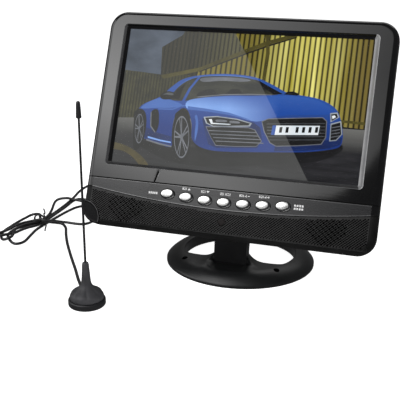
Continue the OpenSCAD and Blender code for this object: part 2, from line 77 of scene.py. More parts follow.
def bands(rings, sides):
    """Faces between rings of vertices that follow each other, and the two ends."""
    faces = []
    for i in range(rings - 1):
        for k in range(sides):
            n = (k + 1) % sides
            faces.append((i * sides + k, i * sides + n, (i + 1) * sides + n, (i + 1) * sides + k))
    faces.append(tuple(reversed(range(sides))))
    faces.append(tuple((rings - 1) * sides + k for k in range(sides)))
    return faces


def tube(line, radius, sides):
    """Vertices and faces of a round tube along a line, its rings carried without twist."""
    side = None
    verts = []
    last = len(line) - 1
    for i, p in enumerate(line):
        along = (line[min(i + 1, last)] - line[max(i - 1, 0)]).normalized()
        if side is None:
            side = along.orthogonal().normalized()
        side = (side - along * side.dot(along)).normalized()
        other = along.cross(side)
        for k in range(sides):
            a = 2 * math.pi * k / sides
            verts.append(p + side * (radius * math.cos(a)) + other * (radius * math.sin(a)))
    return verts, bands(last + 1, sides)


def turned(profile, sides, swell=None):
    """Vertices and faces of a solid turned about Z. swell(angle, height) scales a radius."""
    verts = []
    for r, z in profile:
        for k in range(sides):
            a = 2 * math.pi * k / sides
            q = r * (swell(a, z) if swell else 1)
            verts.append(Vector((q * math.cos(a), q * math.sin(a), z)))
    return verts, bands(len(profile), sides)


def placed(name, mesh, looks, body="head", place=HEAD, angle=32, hide=(), slot=None):
    """Puts a mesh at `place`, carried by a body. The slot argument is not used."""
    for look in looks:
        mesh.materials.append(M[look])
    if angle:
        mesh.polygons.foreach_set("use_smooth", [True] * len(mesh.polygons))
        mesh.set_sharp_from_angle(angle=math.radians(angle))
    obj = bpy.data.objects.new(name, mesh)
    obj.matrix_world = place
    scene.collection.objects.link(obj)
    if body:
        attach(obj, body)
    if hide:
        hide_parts(*hide)
    return obj


def add_object(name, shape, looks, owner=None, **how):
    """A mesh from vertices in millimetres and faces; owner gives each face's look."""
    verts, faces = shape
    mesh = bpy.data.meshes.new(name)
    mesh.from_pydata([Vector(v) * MM for v in verts], [], faces)
    if owner:
        mesh.polygons.foreach_set("material_index", owner)
    work = bmesh.new()
    work.from_mesh(mesh)
    bmesh.ops.recalc_face_normals(work, faces=work.faces)
    work.to_mesh(mesh)
    work.free()
    return placed(name, mesh, looks, **how)


def joined(parts):
    """Puts (verts, faces) pairs together."""
    verts, faces = [], []
    for v, f in parts:
        start = len(verts)
        verts += list(v)
        faces += [tuple(i + start for i in face) for face in f]
    return verts, faces


def circle_points(cx, cz, r, start, stop, n):
    """Points of an arc from start to stop degrees, in n steps."""
    angles = [math.radians(start + (stop - start) * k / n) for k in range(n + 1)]
    return [(cx + r * math.cos(a), cz + r * math.sin(a)) for a in angles]


def rounded_rect(w, h, z0, r, n=9):
    """Outline of a rounded rectangle centred on x = 0, counter-clockwise."""
    corners = [(w / 2 - r, z0 + h - r, 0), (-w / 2 + r, z0 + h - r, 90),
               (-w / 2 + r, z0 + r, 180), (w / 2 - r, z0 + r, 270)]
    return [p for cx, cz, a in corners for p in circle_points(cx, cz, r, a, a + 90, n)]


def ellipse(cx, cz, a, b, n=40):
    turns = [2 * math.pi * k / n for k in range(n)]
    return [(cx + a * math.cos(t), cz + b * math.sin(t)) for t in turns]


def inset(points, d):
    """Pulls a counter-clockwise outline in by d."""
    count = len(points)
    moved = []
    for i, (x1, z1) in enumerate(points):
        x0, z0 = points[i - 1]
        x2, z2 = points[(i + 1) % count]
        bisector = Vector((z0 - z1, x1 - x0)).normalized() + Vector((z1 - z2, x2 - x1)).normalized()
        scale = d * 2 / max(bisector.length_squared, 0.6)
        moved.append((x1 + bisector.x * scale, z1 + bisector.y * scale))
    return moved


class Plate:
    """Builds a faceted plate of the head from outlines in the face plane."""

    def __init__(self):
        self.bm = bmesh.new()

    def ring(self, outline, y):
        return [self.bm.verts.new((x, y, z)) for x, z in outline]

    def wall(self, a, b, look=0):
        for i in range(len(a)):
            n = (i + 1) % len(a)
            self.bm.faces.new((a[i], a[n], b[n], b[i])).material_index = look

    def loft(self, rings, look=0):
        made = [self.ring(outline, y) for outline, y in rings]
        for a, b in zip(made, made[1:]):
            self.wall(a, b, look)
        return made

    def fill(self, loops, extra_edges=()):
        edges = list(extra_edges)
        for ring in loops:
            for pair in zip(ring, ring[1:] + ring[:1]):
                edges.append(self.bm.edges.get(pair) or self.bm.edges.new(pair))
        bmesh.ops.triangle_fill(self.bm, use_beauty=True, use_dissolve=False, edges=edges,
                                normal=(0, -1, 0))

    def done(self, name, looks, hide, angle=32):
        """The finished piece. Edges between the flat face and other faces stay sharp."""
        bmesh.ops.recalc_face_normals(self.bm, faces=self.bm.faces)
        self.bm.normal_update()
        self.bm.edges.index_update()
        creases = [e.index for e in self.bm.edges if len(e.link_faces) == 2
                   and len([f for f in e.link_faces if f.normal.y < -0.99999]) == 1]
        for v in self.bm.verts:
            v.co *= MM
        mesh = bpy.data.meshes.new(name)
        self.bm.to_mesh(mesh)
        self.bm.free()
        placed(name, mesh, looks, angle=angle, hide=[hide])
        for index in creases:
            mesh.edges[index].use_edge_sharp = True


# ---- material helpers ----

class Painter:
    """Short forms for a material's nodes."""

    def __init__(self, name):
        self.material = bpy.data.materials.new(name)
        self.material.use_nodes = True
        self.tree = self.material.node_tree
        self.shader = self.tree.nodes["Principled BSDF"]
        self.coords = self.node("ShaderNodeTexCoord").outputs["Object"]

    def fit(self, socket, value):
        """Links a socket, or sets a number or a colour on it."""
        if isinstance(value, bpy.types.NodeSocket):
            self.tree.links.new(value, socket)
        elif socket.type == "RGBA" and len(value) == 3:
            socket.default_value = (*value, 1)
        else:
            socket.default_value = value

    def node(self, kind, inputs=None, **settings):
        made = self.tree.nodes.new(kind)
        for key, value in settings.items():
            setattr(made, key, value)
        for key, value in (inputs or {}).items():
            self.fit(made.inputs[key], value)
        return made

    def stretched(self, scale):
        return self.node("ShaderNodeMapping", {"Vector": self.coords, "Scale": scale}).outputs[0]

    def noise(self, scale, detail=4.0, vector=None):
        return self.node("ShaderNodeTexNoise", {
            "Vector": vector or self.coords, "Scale": scale, "Detail": detail}).outputs["Fac"]

    def mapped(self, value, low, high, start=0.3, stop=0.7):
        return self.node("ShaderNodeMapRange", {
            "Value": value, "From Min": start, "From Max": stop,
            "To Min": low, "To Max": high}).outputs[0]

    def mixed(self, factor, a, b, blend="MIX"):
        return self.node("ShaderNodeMix", data_type="RGBA", blend_type=blend,
                         inputs={0: factor, 6: a, 7: b}).outputs[2]

    def maths(self, operation, *values):
        return self.node("ShaderNodeMath", dict(enumerate(values)), operation=operation).outputs[0]

    def split(self):
        return self.node("ShaderNodeSeparateXYZ", {0: self.coords}).outputs

    def set(self, **values):
        """Sets the shader's inputs, such as Base_Color for its Base Color."""
        for key, value in values.items():
            self.fit(self.shader.inputs[key.replace("_", " ")], value)


def tone(value):
    """Colour from (grey, extra blue) or (red, green, blue), in thousandths."""
    red, *rest = value
    green, blue = rest if len(rest) == 2 else (red, red + rest[0])
    return red / 1000, green / 1000, blue / 1000


def surface(name, dark, light, rough, grain=1800, bump=0.15, metal=0, spec=0.5,
            stretch=(1, 1, 1), patch=60):
    """Moulded or machined surface: patchy tone, uneven roughness and a fine grain."""
    p = Painter(name)
    vector = p.stretched(stretch)
    patches = p.mapped(p.noise(patch, 5.0, vector), 0.0, 1.0)
    fine = p.noise(grain, 3.0, vector)
    relief = p.node("ShaderNodeBump", {"Height": fine, "Strength": bump, "Distance": 0.00012})
    p.set(Base_Color=p.mixed(patches, tone(dark), tone(light)), Metallic=metal,
          Roughness=p.mapped(fine, *rough), Specular_IOR_Level=spec, Normal=relief.outputs[0])
    return p.material


# ---- camera, floor and light ----

def make_camera():
    """The camera that took the photograph, found from the outlines of the head and the stand."""
    right = Vector((0.95260, 0.30418, 0.00579))
    up = Vector((-0.10480, 0.31023, 0.94487))
    back = Vector((0.28562, -0.90068, 0.32740))
    data = bpy.data.cameras.new("camera")
    data.sensor_width = 36
    data.lens = 70.58
    data.clip_start = 0.05
    camera = bpy.data.objects.new("camera", data)
    turn = Matrix((right, up, back)).transposed().to_4x4()
    camera.matrix_world = Matrix.Translation((0.16905, -0.63054, 0.29391)) @ turn
    scene.collection.objects.link(camera)
    scene.camera = camera


def area_light(name, place, size, power, glossy):
    """A lamp that looks at the head's lower part."""
    data = bpy.data.lights.new(name, "AREA")
    data.shape = "RECTANGLE"
    data.size, data.size_y = size
    data.energy = power
    lamp = bpy.data.objects.new(name, data)
    aim = (Vector((0, 0, 0.1)) - Vector(place)).to_track_quat("-Z", "Y")
    lamp.matrix_world = Matrix.Translation(place) @ aim.to_matrix().to_4x4()
    lamp.visible_glossy = glossy
    scene.collection.objects.link(lamp)


def glow_material(name, low, high, dim=None):
    """Light that grows from low to high along the card's own X; dim (slope, from, to, least,
    top) weakens one corner, and its upper part down to the share top."""
    p = Painter(name)
    across, upward, _ = p.split()
    strength = p.mapped(across, low, high, -0.34, 0.28)
    if dim:
        slope, corner, edge, least, top = dim
        slant = p.maths("MULTIPLY_ADD", across, -slope, upward)
        share = p.mapped(slant, least, 1.1, corner, edge)
        upper = p.mapped(upward, 1.0, top, 0.0, 0.17)
        strength = p.maths("MULTIPLY", p.maths("MULTIPLY", share, strength), upper)
    glow = p.node("ShaderNodeEmission", {"Strength": strength})
    p.tree.links.new(glow.outputs[0], p.tree.nodes["Material Output"].inputs[0])
    p.tree.nodes.remove(p.shader)
    return p.material


def rectangle(a, b):
    return [(-a, -b), (a, -b), (a, b), (-a, b)]


def flat_object(name, outline, material):
    mesh = bpy.data.meshes.new(name)
    mesh.from_pydata([(a, b, 0) for a, b in outline], [], [tuple(range(len(outline)))])
    mesh.materials.append(material)
    obj = bpy.data.objects.new(name, mesh)
    scene.collection.objects.link(obj)
    return obj


def emitter_card(name, centre, across, upward, outline, low, high, dim=None):
    """A flat card that only mirrors see."""
    card = flat_object(name + "_card", outline, glow_material(name + "_glow", low, high, dim))
    across, upward = Vector(across).normalized(), Vector(upward).normalized()
    turn = Matrix((across, upward, across.cross(upward))).transposed().to_4x4()
    card.matrix_world = Matrix.Translation(centre) @ turn
    for ray in ("camera", "diffuse", "transmission", "shadow"):
        setattr(card, "visible_" + ray, False)


def make_stage():
    p = Painter("floor_white")
    p.set(Base_Color=(0.93, 0.93, 0.93), Roughness=0.9, Specular_IOR_Level=0.1,
          Emission_Color=(1, 1, 1), Emission_Strength=0.95)
    flat_object("floor", rectangle(6, 6), p.material).visible_glossy = False
    # the pale softbox that the glossy face mirrors; its cut corner leaves the lower right dark
    emitter_card("softbox", (-0.2796, -0.8468, 0.7890), (-0.95022, 0.31157, 0),
                 (0.18154, 0.55365, 0.81271), [
        (0.62, 0.62), (0.62, -0.62), (-0.16, -0.62), (-0.16, -0.17), (-0.2587, -0.1326),
        (-0.2867, -0.1084), (-0.3025, -0.083), (-0.3204, -0.0468), (-0.3356, -0.0018),
        (-0.42, 0.12), (-0.62, 0.3), (-0.62, 0.62)], 1.2, 5.5, (0.35, -0.36, -0.17, 0.2, 0.68))
    emitter_card("side", (-1.35, -0.55, 0.75), (-0.35, 0.94, 0), (0.3, 0.11, 0.95),
                 rectangle(0.55, 0.55), 2.4, 2.4)
    emitter_card("high", (-0.42, 0.79, 1.32), (1, 0, 0), (0, 0.85, -0.52),
                 rectangle(0.5, 0.25), 1.6, 1.6)
    world = bpy.data.worlds.new("studio")
    world.use_nodes = True
    tree = world.node_tree
    # the background is white to the camera and dim to everything else
    path = tree.nodes.new("ShaderNodeLightPath")
    level = tree.nodes.new("ShaderNodeMapRange")
    level.inputs["To Min"].default_value = 0.13
    level.inputs["To Max"].default_value = 1.0
    tree.links.new(path.outputs["Is Camera Ray"], level.inputs["Value"])
    tree.links.new(level.outputs[0], tree.nodes["Background"].inputs[1])
    tree.nodes["Background"].inputs[0].default_value = (1, 1, 1, 1)
    scene.world = world
    area_light("key", (-0.6, -0.9, 1.5), (1.2, 1.2), 13, False)
    area_light("fill", (1.2, -0.8, 1.0), (1.2, 1.2), 12, False)
    area_light("rim", (0.1, 1.1, 1.3), (1.6, 0.8), 4, True)
    scene.view_settings.view_transform = "Standard"
    scene.view_settings.look = "None"


make_camera()
make_stage()


# ---- looks ----

# name: dark tone, light tone, roughness from and to, and what differs from a plain plastic
LOOKS = {
    "bezel_gloss": ((1.8, 0.4), (3.5, 0.5), (0.05, 0.08),
                    dict(grain=420, bump=0.03, stretch=(0.08, 1, 2.4), patch=45)),
    "bezel_side": ((10, 1), (18, 1), (0.32, 0.42), dict(bump=0.1)),
    "cover_matte": ((12, 1), (22, 1), (0.45, 0.6), dict(bump=0.35, grain=2400)),
    "strip_gloss": ((8, 1), (14, 1), (0.2, 0.3),
                    dict(grain=500, bump=0.08, spec=0.42, stretch=(0.1, 1, 2))),
    # painted shade for the walls of the button holes
    "strip_hole_shade": ((4, 0), (7, 0), (0.35, 0.45), {}),
    "grille_black": ((18, 0), (27, 0), (0.26, 0.34), dict(bump=0.05, spec=0.16)),
    # painted highlight for the thin ribbons along the face's edges
    "edge_painted_highlight": ((50, 2), (80, 2), (0.16, 0.24), dict(bump=0.05, spec=1)),
    # painted highlights: a bright one for the window bevel's right side, a dimmer one for its foot, its
    # outer left edge and the corner cap's rim
    "bevel_painted_highlight": ((200, 5), (280, 5), (0.24, 0.34), dict(bump=0.05)),
    "bevel_dim_highlight": ((30, 1), (50, 2), (0.24, 0.34), dict(bump=0.05)),
    # painted shade for the grooves, the gap under the strip and the stand's fixing holes
    "painted_shade_black": ((1.5, 0), (3, 0), (0.6, 0.8), dict(spec=0.05)),
    # painted shade inside the grille's pits
    "grille_pit_shade": ((1.2, 0), (2.5, 0), (0.7, 0.85), dict(spec=0.03)),
    "cap_gloss": ((3, 0.5), (6, 0.5), (0.22, 0.3), dict(bump=0.05, spec=0.07)),
    "lower_matte": ((4, 0), (8, 0), (0.4, 0.55), dict(bump=0.2, spec=0.12)),
    "window_red": ((2.5, 1.3, 1.3), (4, 2, 2), (0.1, 0.2), dict(bump=0.05, spec=0.1)),
    "button_silver": ((740, -10), (860, -10), (0.16, 0.26),
                      dict(metal=0.75, bump=0.04, grain=1500)),
    # painted shade on the buttons' stems, sides and lower right crescents
    "button_shade": ((12, 1), (30, 2), (0.25, 0.35), dict(bump=0.04)),
    "label_white": ((620, 0), (750, 0), (0.4, 0.5), dict(bump=0.02)),
    "shell_black": ((5, 5.5, 6), (8.5, 9, 9.5), (0.3, 0.4), dict(bump=0.18, grain=2200, spec=0.4)),
    "shell_hidden": ((10, 0), (18, 0), (0.5, 0.6), {}),
    "post_black": ((5, 1), (9, 1), (0.34, 0.46), dict(bump=0.12, spec=0.25)),
    "rubber_black": ((20, 1), (35, 1), (0.8, 0.9), dict(bump=0.4)),
    "screw_steel": ((500, 10), (660, 10), (0.25, 0.4), dict(metal=1, grain=900, stretch=(6, 1, 1))),
    "pin_steel": ((420, 20), (580, 20), (0.2, 0.35), dict(metal=1, stretch=(0.2, 3, 3))),
    "whip_black": ((6, 1), (12, 1.5), (0.34, 0.46), dict(bump=0.25, grain=1500)),
    "skirt_rubber": ((30, 3), (48, 4), (0.45, 0.58), dict(bump=0.3, grain=1500, spec=0.3)),
    "cable_black": ((8, 1), (17, 1), (0.32, 0.44), dict(bump=0.2, grain=1300, patch=150)),
    "panel_dark": ((20, 22, 26), (30, 33, 38), (0.3, 0.4), {}),
    "frame_metal": ((450, -10), (600, -20), (0.35, 0.5), dict(metal=1, patch=90)),
    "board_green": ((10, 80, 30), (20, 140, 50), (0.3, 0.5), dict(patch=400)),
    "can_tin": ((500, -20), (680, -20), (0.25, 0.4), dict(metal=1, patch=120)),
    "battery_blue": ((20, 50, 160), (30, 80, 240), (0.3, 0.4), {}),
    "speaker_dark": ((12, 0), (30, 0), (0.6, 0.8), dict(bump=0.4)),
    "brass": ((620, 420, 120), (780, 560, 200), (0.2, 0.35), dict(metal=1)),
    "socket_black": ((10, 0), (20, 0), (0.35, 0.5), {}),
    "knob_black": ((20, 1), (35, 1), (0.4, 0.5), dict(bump=0.3)),
}
for look_name, (dark_tone, light_tone, rough_range, special) in LOOKS.items():
    M[look_name] = surface(look_name, dark_tone, light_tone, rough_range, **special)


# ---- antenna lead, plug and tie ----

LEAD_R = 1.4
# the plug's place on the back of the head, and the head's depth
PLUG_X, PLUG_Z, HEAD_D = -104.5, 34, 36
# the lead's middle line; a point without a height lies on the floor
ROUTE = [
    # from the antenna to the tie
    (-104.6, -91.8, 8.6), (-108, -87.5, 8), (-112, -81, 6.2), (-117, -72.5, 3.6), (-124, -61.5, 1.8),
    (-133.8, -46), (-145, -29.3), (-156, -12.8), (-168, 6), (-175.5, 18.5), (-183, 32), (-190, 45.5),
    (-195.5, 52.5), (-200.5, 55.5, 1.8), (-205, 53, 3), (-209.2, 48.8, 4.6), (-213.8, 45.6, 6.6),
    (-218.3, 46, 8.2), (-221.8, 50, 8.8), (-224, 54.8, 8.6), (-227.8, 57.9, 8.2), (-232.8, 59.2, 7.2),
    (-236.9, 57.4, 6), (-239.8, 53.6, 4.6), (-243.5, 48.2, 2.8), (-245.8, 41.4, 1.6), (-246.2, 32),
    (-246.2, 23.4), (-245.6, 16.2), (-242.8, 8.8), (-239.5, 2.6), (-235, -2.2, 1.6), (-230.2, -2.8, 3),
    (-227.2, 1.2, 4.2), (-228.4, 6.4, 4.3), (-230.6, 11, 4.3), (-233, 16.5, 4.1), (-234.4, 23, 3.85),
    (-233.6, 30, 3.85), (-230.6, 37.4, 3.85), (-226.2, 42.6, 3.85), (-222.8, 47, 3.85), (-221.6, 53, 3.85),
    (-221.7, 60, 3.5), (-222.2, 68, 2.4),
    # the long loop behind the hank
    (-222.9, 78), (-223, 90), (-223.4, 104.8), (-224.6, 123), (-226.8, 141.5), (-229.3, 155.4), (-230, 172),
    (-228, 183), (-220, 190.5), (-210.5, 189), (-203.5, 179), (-201, 165), (-201.2, 150), (-203.4, 140),
    (-207.8, 134.6), (-213, 134), (-217.8, 133.4), (-220.6, 129), (-221.2, 121), (-220.5, 111), (-220, 98),
    (-220, 84), (-220.1, 71.6), (-220.2, 60), (-220.3, 53), (-221.4, 46.4), (-224.2, 40.6), (-228, 34.6),
    # twice through the thick end
    (-231, 26.6), (-232.6, 18, 1.6), (-233.4, 11, 2.8), (-234.6, 5, 4.3), (-237.6, 0.2, 4.6),
    (-241.8, 0.6, 4.6), (-243.4, 5.8, 4.3), (-241.6, 13, 4), (-239.8, 21, 3.9), (-239, 30, 3.9),
    (-236, 38, 4.1), (-231.6, 42.4, 4.6), (-226.6, 45.4, 5.4), (-221.4, 47.8, 6.2), (-216, 49.4, 5.6),
    (-211.4, 52.4, 4.6),
    # the wide ring under the head's corner
    (-207, 56.6, 3.2), (-202, 59.8, 1.9), (-195.6, 61.1), (-187.1, 60.6), (-179.6, 61.6), (-175, 65.4),
    (-172.6, 72), (-169.5, 80), (-165.6, 88), (-163.4, 99), (-166, 112), (-176, 121), (-190, 124.3, 1.6),
    (-201, 122.6, 2.8), (-211, 121, 4.2), (-219.3, 122.3, 4.4), (-227.7, 126.3, 3.6), (-234.3, 128.4, 2.2),
    (-239.2, 126.2), (-239.8, 119), (-236.6, 108), (-231.2, 94), (-227.6, 83), (-225.2, 73), (-224, 62),
    (-223.4, 52), (-224.6, 46), (-228.2, 41.2), (-233, 37), (-236.8, 31), (-238.3, 23), (-237.8, 15),
    (-235.6, 8.6), (-231.6, 3.2), (-227.4, -1.4), (-222.4, -6),
    # the near loop and back under the tie
    (-217.2, -8), (-213.6, -5), (-212.2, 0.6), (-213, 7.5), (-214.8, 18.3), (-216.6, 31), (-216.5, 41),
    (-215.9, 50), (-215.2, 60), (-214, 72), (-212.8, 84), (-211, 96), (-208.2, 106.6), (-202.5, 113.6, 1.5),
    (-194, 116, 2.4), (-182, 112, 5.4),
    # the rise to the plug
    (-169, 105, 8.4), (-156, 97, 9.8), (-143, 87, 12.5), (-130, 74, 17.5), (-119, 60, 25), (-111, 46, 35.5),
    (-106, 32.5, 47), (-104.5, 21.13, 55.05), (-104.5, 17.5, 56.74)]
LEAD = [(*p, LEAD_R)[:3] for p in ROUTE]


def make_plug():
    """Moulded plug on the back of the head, with grip ribs and a tapered strain relief."""
    profile = [(0.6, 0), (3.4, 0), (3.6, 0.3), (3.8, 0.9)]
    for k in range(6):
        z = 1.6 + 1.1 * k
        profile += [(3.8, z), (3.5, z + 0.2), (3.5, z + 0.55), (3.8, z + 0.75)]
    profile += [(3.7, 8.4), (3.2, 10), (2.6, 11.4), (2.2, 12.5), (2.2, 13.1), (1.9, 13.3),
                (1.9, 13.9), (2.05, 14.1), (2.0, 14.7), (1.75, 14.9), (1.75, 15.5), (1.5, 16)]
    verts, faces = turned(profile, 32)
    verts = [(PLUG_X + v.x, HEAD_D + v.z, PLUG_Z - v.y) for v in verts]
    return add_object("antenna_plug_body", (verts, faces), ["cable_black"], hide=["antenna_plug"])


def make_lead(plug):
    line = smoothed(LEAD, 4)
    lead = add_object("antenna_lead", tube(line, LEAD_R, 12), ["cable_black"], body=None,
                      place=WORLD, angle=60, hide=["lead_tube", "lead_hank", "lead_tail"])
    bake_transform(lead)


def make_tie():
    """Twist tie: a wire wound twice around the bundle, its two ends splayed."""
    centre = Vector((-221.4, 49.6, 0))
    along, across = Vector((0.087, 0.996, 0)), Vector((0.996, -0.087, 0))
    wire_r, half_w, half_h, middle = 0.75, 6.9, 5.2, 5.7
    low_end = [(-207.6, 33.7, 0.8), (-210.4, 39.4, 0.8), (-212.4, 44.4, 1), (-213.6, 47, 1.6)]
    high_end = [(-222.2, 59, 8.4), (-222.6, 62, 7.9), (-223.8, 64, 9.5), (-225.7, 65.4, 12)]
    turns = []
    for k in range(49):
        a = math.radians(-60 + 16.5 * k)
        p = centre + across * (half_w * math.cos(a)) + Vector((0, 0, middle + half_h * math.sin(a)))
        p += along * (-1.3 + 2.6 * k / 48)
        p.z = max(p.z, 0.7)
        turns.append(p)
    body = tube(smoothed(low_end + turns, 2), wire_r, 8)
    tail = tube(smoothed([turns[-1]] + high_end, 4), wire_r, 8)
    add_object("lead_tie", joined([body, tail]), ["rubber_black"], body="stand",
               place=WORLD, angle=60, hide=["hank_tie"])


make_lead(make_plug())
make_tie()


# ---- front housing ----

HEAD_W, HEAD_H, HEAD_R = 256, 194, 16
# how far the rounded front edge reaches across the face, and how deep
EDGE_W, EDGE_D = 5, 5.4
SMILE_Z, SMILE_R = 24, 850
# where the curve under the strip meets the head's sides
SMILE_END = 33.8
# the recess that holds the strip and the grille
PANEL_HALF, PANEL_LOW, PANEL_HIGH, PANEL_D = 121.5, 3.8, 41.6, 2.2
# middles of the small diamond and of the corner cap, and the cap's radius
DIAMOND_Z = 14.5
CAP_X, CAP_Z, CAP_R = -127, 4, 16.6
# spacing of the buttons, the lowest point of the wide arc they stand on, and its radius
BUTTON_PITCH, BUTTON_Z, BUTTON_CURVE = 16.8, 30.7, 530
# half a button's width and height
BUTTON_A, BUTTON_B = 6, 4.1
# middles and reach of the open holes over the speakers
SPEAKER_X, SPEAKER_Z, SPEAKER_A, SPEAKER_B = 88, 18, 17, 12.5


def head_outline(d):
    """The head's outline pulled in by d, with a point on each side where the curve ends."""
    points = rounded_rect(HEAD_W - 2 * d, HEAD_H - 2 * d, d, HEAD_R - 0.8 * d, 14)
    points.insert(30, (-HEAD_W / 2 + d, SMILE_END))
    return points + [(HEAD_W / 2 - d, SMILE_END)]


def smile(x):
    """Height of the curve under the strip."""
    return SMILE_Z + SMILE_R - math.sqrt(SMILE_R ** 2 - x * x)


def make_bezel():
    plate = Plate()
    edge = [(head_outline(2.6), 10.0), (head_outline(0.3), 10.0), (head_outline(0.0), 9.7),
            (head_outline(0.0), 7.5), (head_outline(0.0), EDGE_D)]
    for k in range(1, 10):
        a = math.radians(10 * k)
        edge.append((head_outline(EDGE_W * (1 - math.cos(a))), EDGE_D * (1 - math.sin(a))))
    outer = plate.loft(edge)
    for face in plate.bm.faces:
        if min(v.co.y for v in face.verts) >= EDGE_D:
            face.material_index = 1
    # width, height, foot, corner radius and depth of the window's bevel
    window = plate.loft([(rounded_rect(w, h, z, r), y) for w, h, z, r, y in (
        (225.6, 128.6, 53.4, 3.4, 0.0), (224.6, 127.6, 53.9, 2.9, 0.15),
        (223.8, 127.0, 54.2, 2.5, 0.6), (221.8, 125.5, 55.0, 2.0, 1.7),
        (219.4, 123.6, 55.9, 1.3, 3.0), (217.6, 122.4, 56.5, 0.7, 3.35),
        (217.0, 122.0, 56.7, 0.5, 3.5), (217.0, 122.0, 56.7, 0.5, 3.88))])
    right = [(PANEL_HALF, z) for z in (PANEL_LOW, SMILE_END, PANEL_HIGH)]
    opening = right + [(-x, z) for x, z in reversed(right)]
    recess = plate.loft([(opening, 0.0), (opening, PANEL_D)])
    plate.fill([outer[-1], window[0], recess[0]])
    # the window's bevel has a painted highlight on its right and a dimmer painted highlight at its foot and
    # its outer left edge
    window_verts = {v for ring in window for v in ring}
    for face in plate.bm.faces:
        centre = face.calc_center_median()
        if window_verts.issuperset(face.verts):
            if centre.x > 108:
                face.material_index = 2
            elif centre.z < 57.4 or (centre.x < -110.5 and centre.y < 1.6):
                face.material_index = 4
        elif centre.z < SMILE_END:
            face.material_index = 3
    plate.done("front_housing", ["bezel_gloss", "bezel_side", "bevel_painted_highlight", "lower_matte",
                                 "bevel_dim_highlight"], "front_bezel")


def panel_points(kind, d=0.0):
    """Outline of the control strip above the curve, or of the grille below it, its long
    edges pulled in by d."""
    half, low, high, gap, steps = PANEL_HALF - 0.05, 3.85, 41.5, 0.16, 60
    curve = [-half + 2 * half * k / steps for k in range(steps + 1)]
    if kind == "strip":
        points = [(x, smile(x) + gap + d) for x in curve]
        return points + [(half, high - d), (-half, high - d)]
    points = [(-half, low + 3), (-half + 0.9, low + 0.9), (-half + 3, low)]
    points += [(-x, z) for x, z in reversed(points)]
    return points + [(x, smile(x) - gap - d) for x in reversed(curve)]


def button_place(i):
    x = (i - 3) * BUTTON_PITCH
    return x, BUTTON_Z + BUTTON_CURVE - math.sqrt(BUTTON_CURVE ** 2 - x * x)


def make_strip():
    plate = Plate()
    outline = panel_points("strip")
    loops = plate.loft([(outline, PANEL_D), (outline, 0.12), (panel_points("strip", 0.12), 0.0)])[-1:]
    for i in range(7):
        x, z = button_place(i)
        # each button hole's chamfer and walls carry painted shade, the strip's second look
        rings = [(6.7, 4.8, 0.0), (6.5, 4.6, 0.08), (6.35, 4.45, 0.3), (6.35, 4.45, PANEL_D)]
        loops.append(plate.loft([(ellipse(x, z, a, b), y) for a, b, y in rings], 1)[0])
    plate.fill(loops)
    plate.done("control_strip", ["strip_gloss", "strip_hole_shade"], "control_panel")


def diamond_outline(r):
    return [(0, DIAMOND_Z - r), (r, DIAMOND_Z), (0, DIAMOND_Z + r), (-r, DIAMOND_Z)]


def make_grille():
    """Matte grille: a lattice of small diamond pits, deep open ones over the speakers, with painted shade
    on the pits' walls and floors.
    """
    plate = Plate()
    bm = plate.bm
    outline = panel_points("grille")
    ring = plate.loft([(outline, PANEL_D), (outline, 0.3), (panel_points("grille", 0.1), 0.08),
                       (panel_points("grille", 0.3), 0.0)])
    px, pz = 2.5, 2.2
    # how near the pits come to the cap's middle and to the small diamond's
    cap_reach, diamond_reach = 15.6, 3.2
    corner = {}

    def spot(i, j):
        return i * px / 2, DIAMOND_Z + j * pz / 2

    def vertex(i, j):
        if (i, j) not in corner:
            x, z = spot(i, j)
            corner[i, j] = bm.verts.new((x, 0, z))
        return corner[i, j]

    def inside(i, j):
        x, z = spot(i, j)
        clear = math.hypot(x - CAP_X, z - CAP_Z) >= cap_reach
        clear = clear and abs(x) + abs(z - DIAMOND_Z) >= diamond_reach
        return clear and abs(x) < PANEL_HALF - 0.2 and PANEL_LOW + 0.5 < z < smile(x) - 1.0

    def open_pit(i, j):
        x, z = spot(i, j)
        dx, dz = abs(abs(x) - SPEAKER_X) / SPEAKER_A, abs(z - SPEAKER_Z) / SPEAKER_B
        chosen = ((i + j) // 2) % 2 == 0 and ((i - j) // 2) % 2 == 0
        return dx < 1 and dz < 1 and dx + dz < 1.3 and chosen

    def diamond_ring(i, j, rise, fall, y):
        # ridges that run up to the right are wide, the ones across them narrow
        x, z = spot(i, j)
        pairs = [(up * rise / 2, across * fall / 2)
                 for up, across in ((-1, -1), (-1, 1), (1, 1), (1, -1))]
        return [bm.verts.new((x + (u + w) * px / 2, y, z + (u - w) * pz / 2)) for u, w in pairs]

    cells = [(i, j) for i in range(-100, 101) for j in range(-12, 24) if (i + j) % 2 == 0
             and all(inside(*c) for c in ((i - 1, j), (i, j - 1), (i + 1, j), (i, j + 1)))]
    for i, j in cells:
        rim = [vertex(i - 1, j), vertex(i, j - 1), vertex(i + 1, j), vertex(i, j + 1)]
        rise, fall, shrink, depth = (0.99, 0.98, 0.98, 2.1) if open_pit(i, j) else (
            0.9, 0.62, 0.6, 0.9)
        top = diamond_ring(i, j, rise, fall, 0.0)
        low = diamond_ring(i, j, rise * shrink, fall * shrink, depth)
        plate.wall(rim, top, 0)
        # the pit's walls and floor take the painted shade
        plate.wall(top, low, 1)
        bm.faces.new(low).material_index = 1
    rims = set(corner.values())
    border = [e for e in bm.edges if e.is_boundary and rims.issuperset(e.verts)]
    diamond = plate.loft([(diamond_outline(r), y)
                          for r, y in ((3.1, 0.0), (3.0, PANEL_D))])
    plate.fill([ring[-1], diamond[0]], border)
    plate.done("speaker_grille_face", ["grille_black", "grille_pit_shade"], "speaker_grille", angle=18)


def ribbon(line, w, lift):
    """A thin flat band along points on the face, (x, z, depth of the surface there)."""
    verts = []
    last = len(line) - 1
    for i, (x, z, y) in enumerate(line):
        x0, z0, _ = line[max(i - 1, 0)]
        x1, z1, _ = line[min(i + 1, last)]
        side = Vector((z0 - z1, x1 - x0)).normalized() * (w / 2)
        verts += [(x + s * side.x, depth, z + s * side.y)
                  for s, depth in ((1, y - lift), (-1, y - lift), (-1, y + 0.05), (1, y + 0.05))]
    return verts, bands(last + 1, 4)


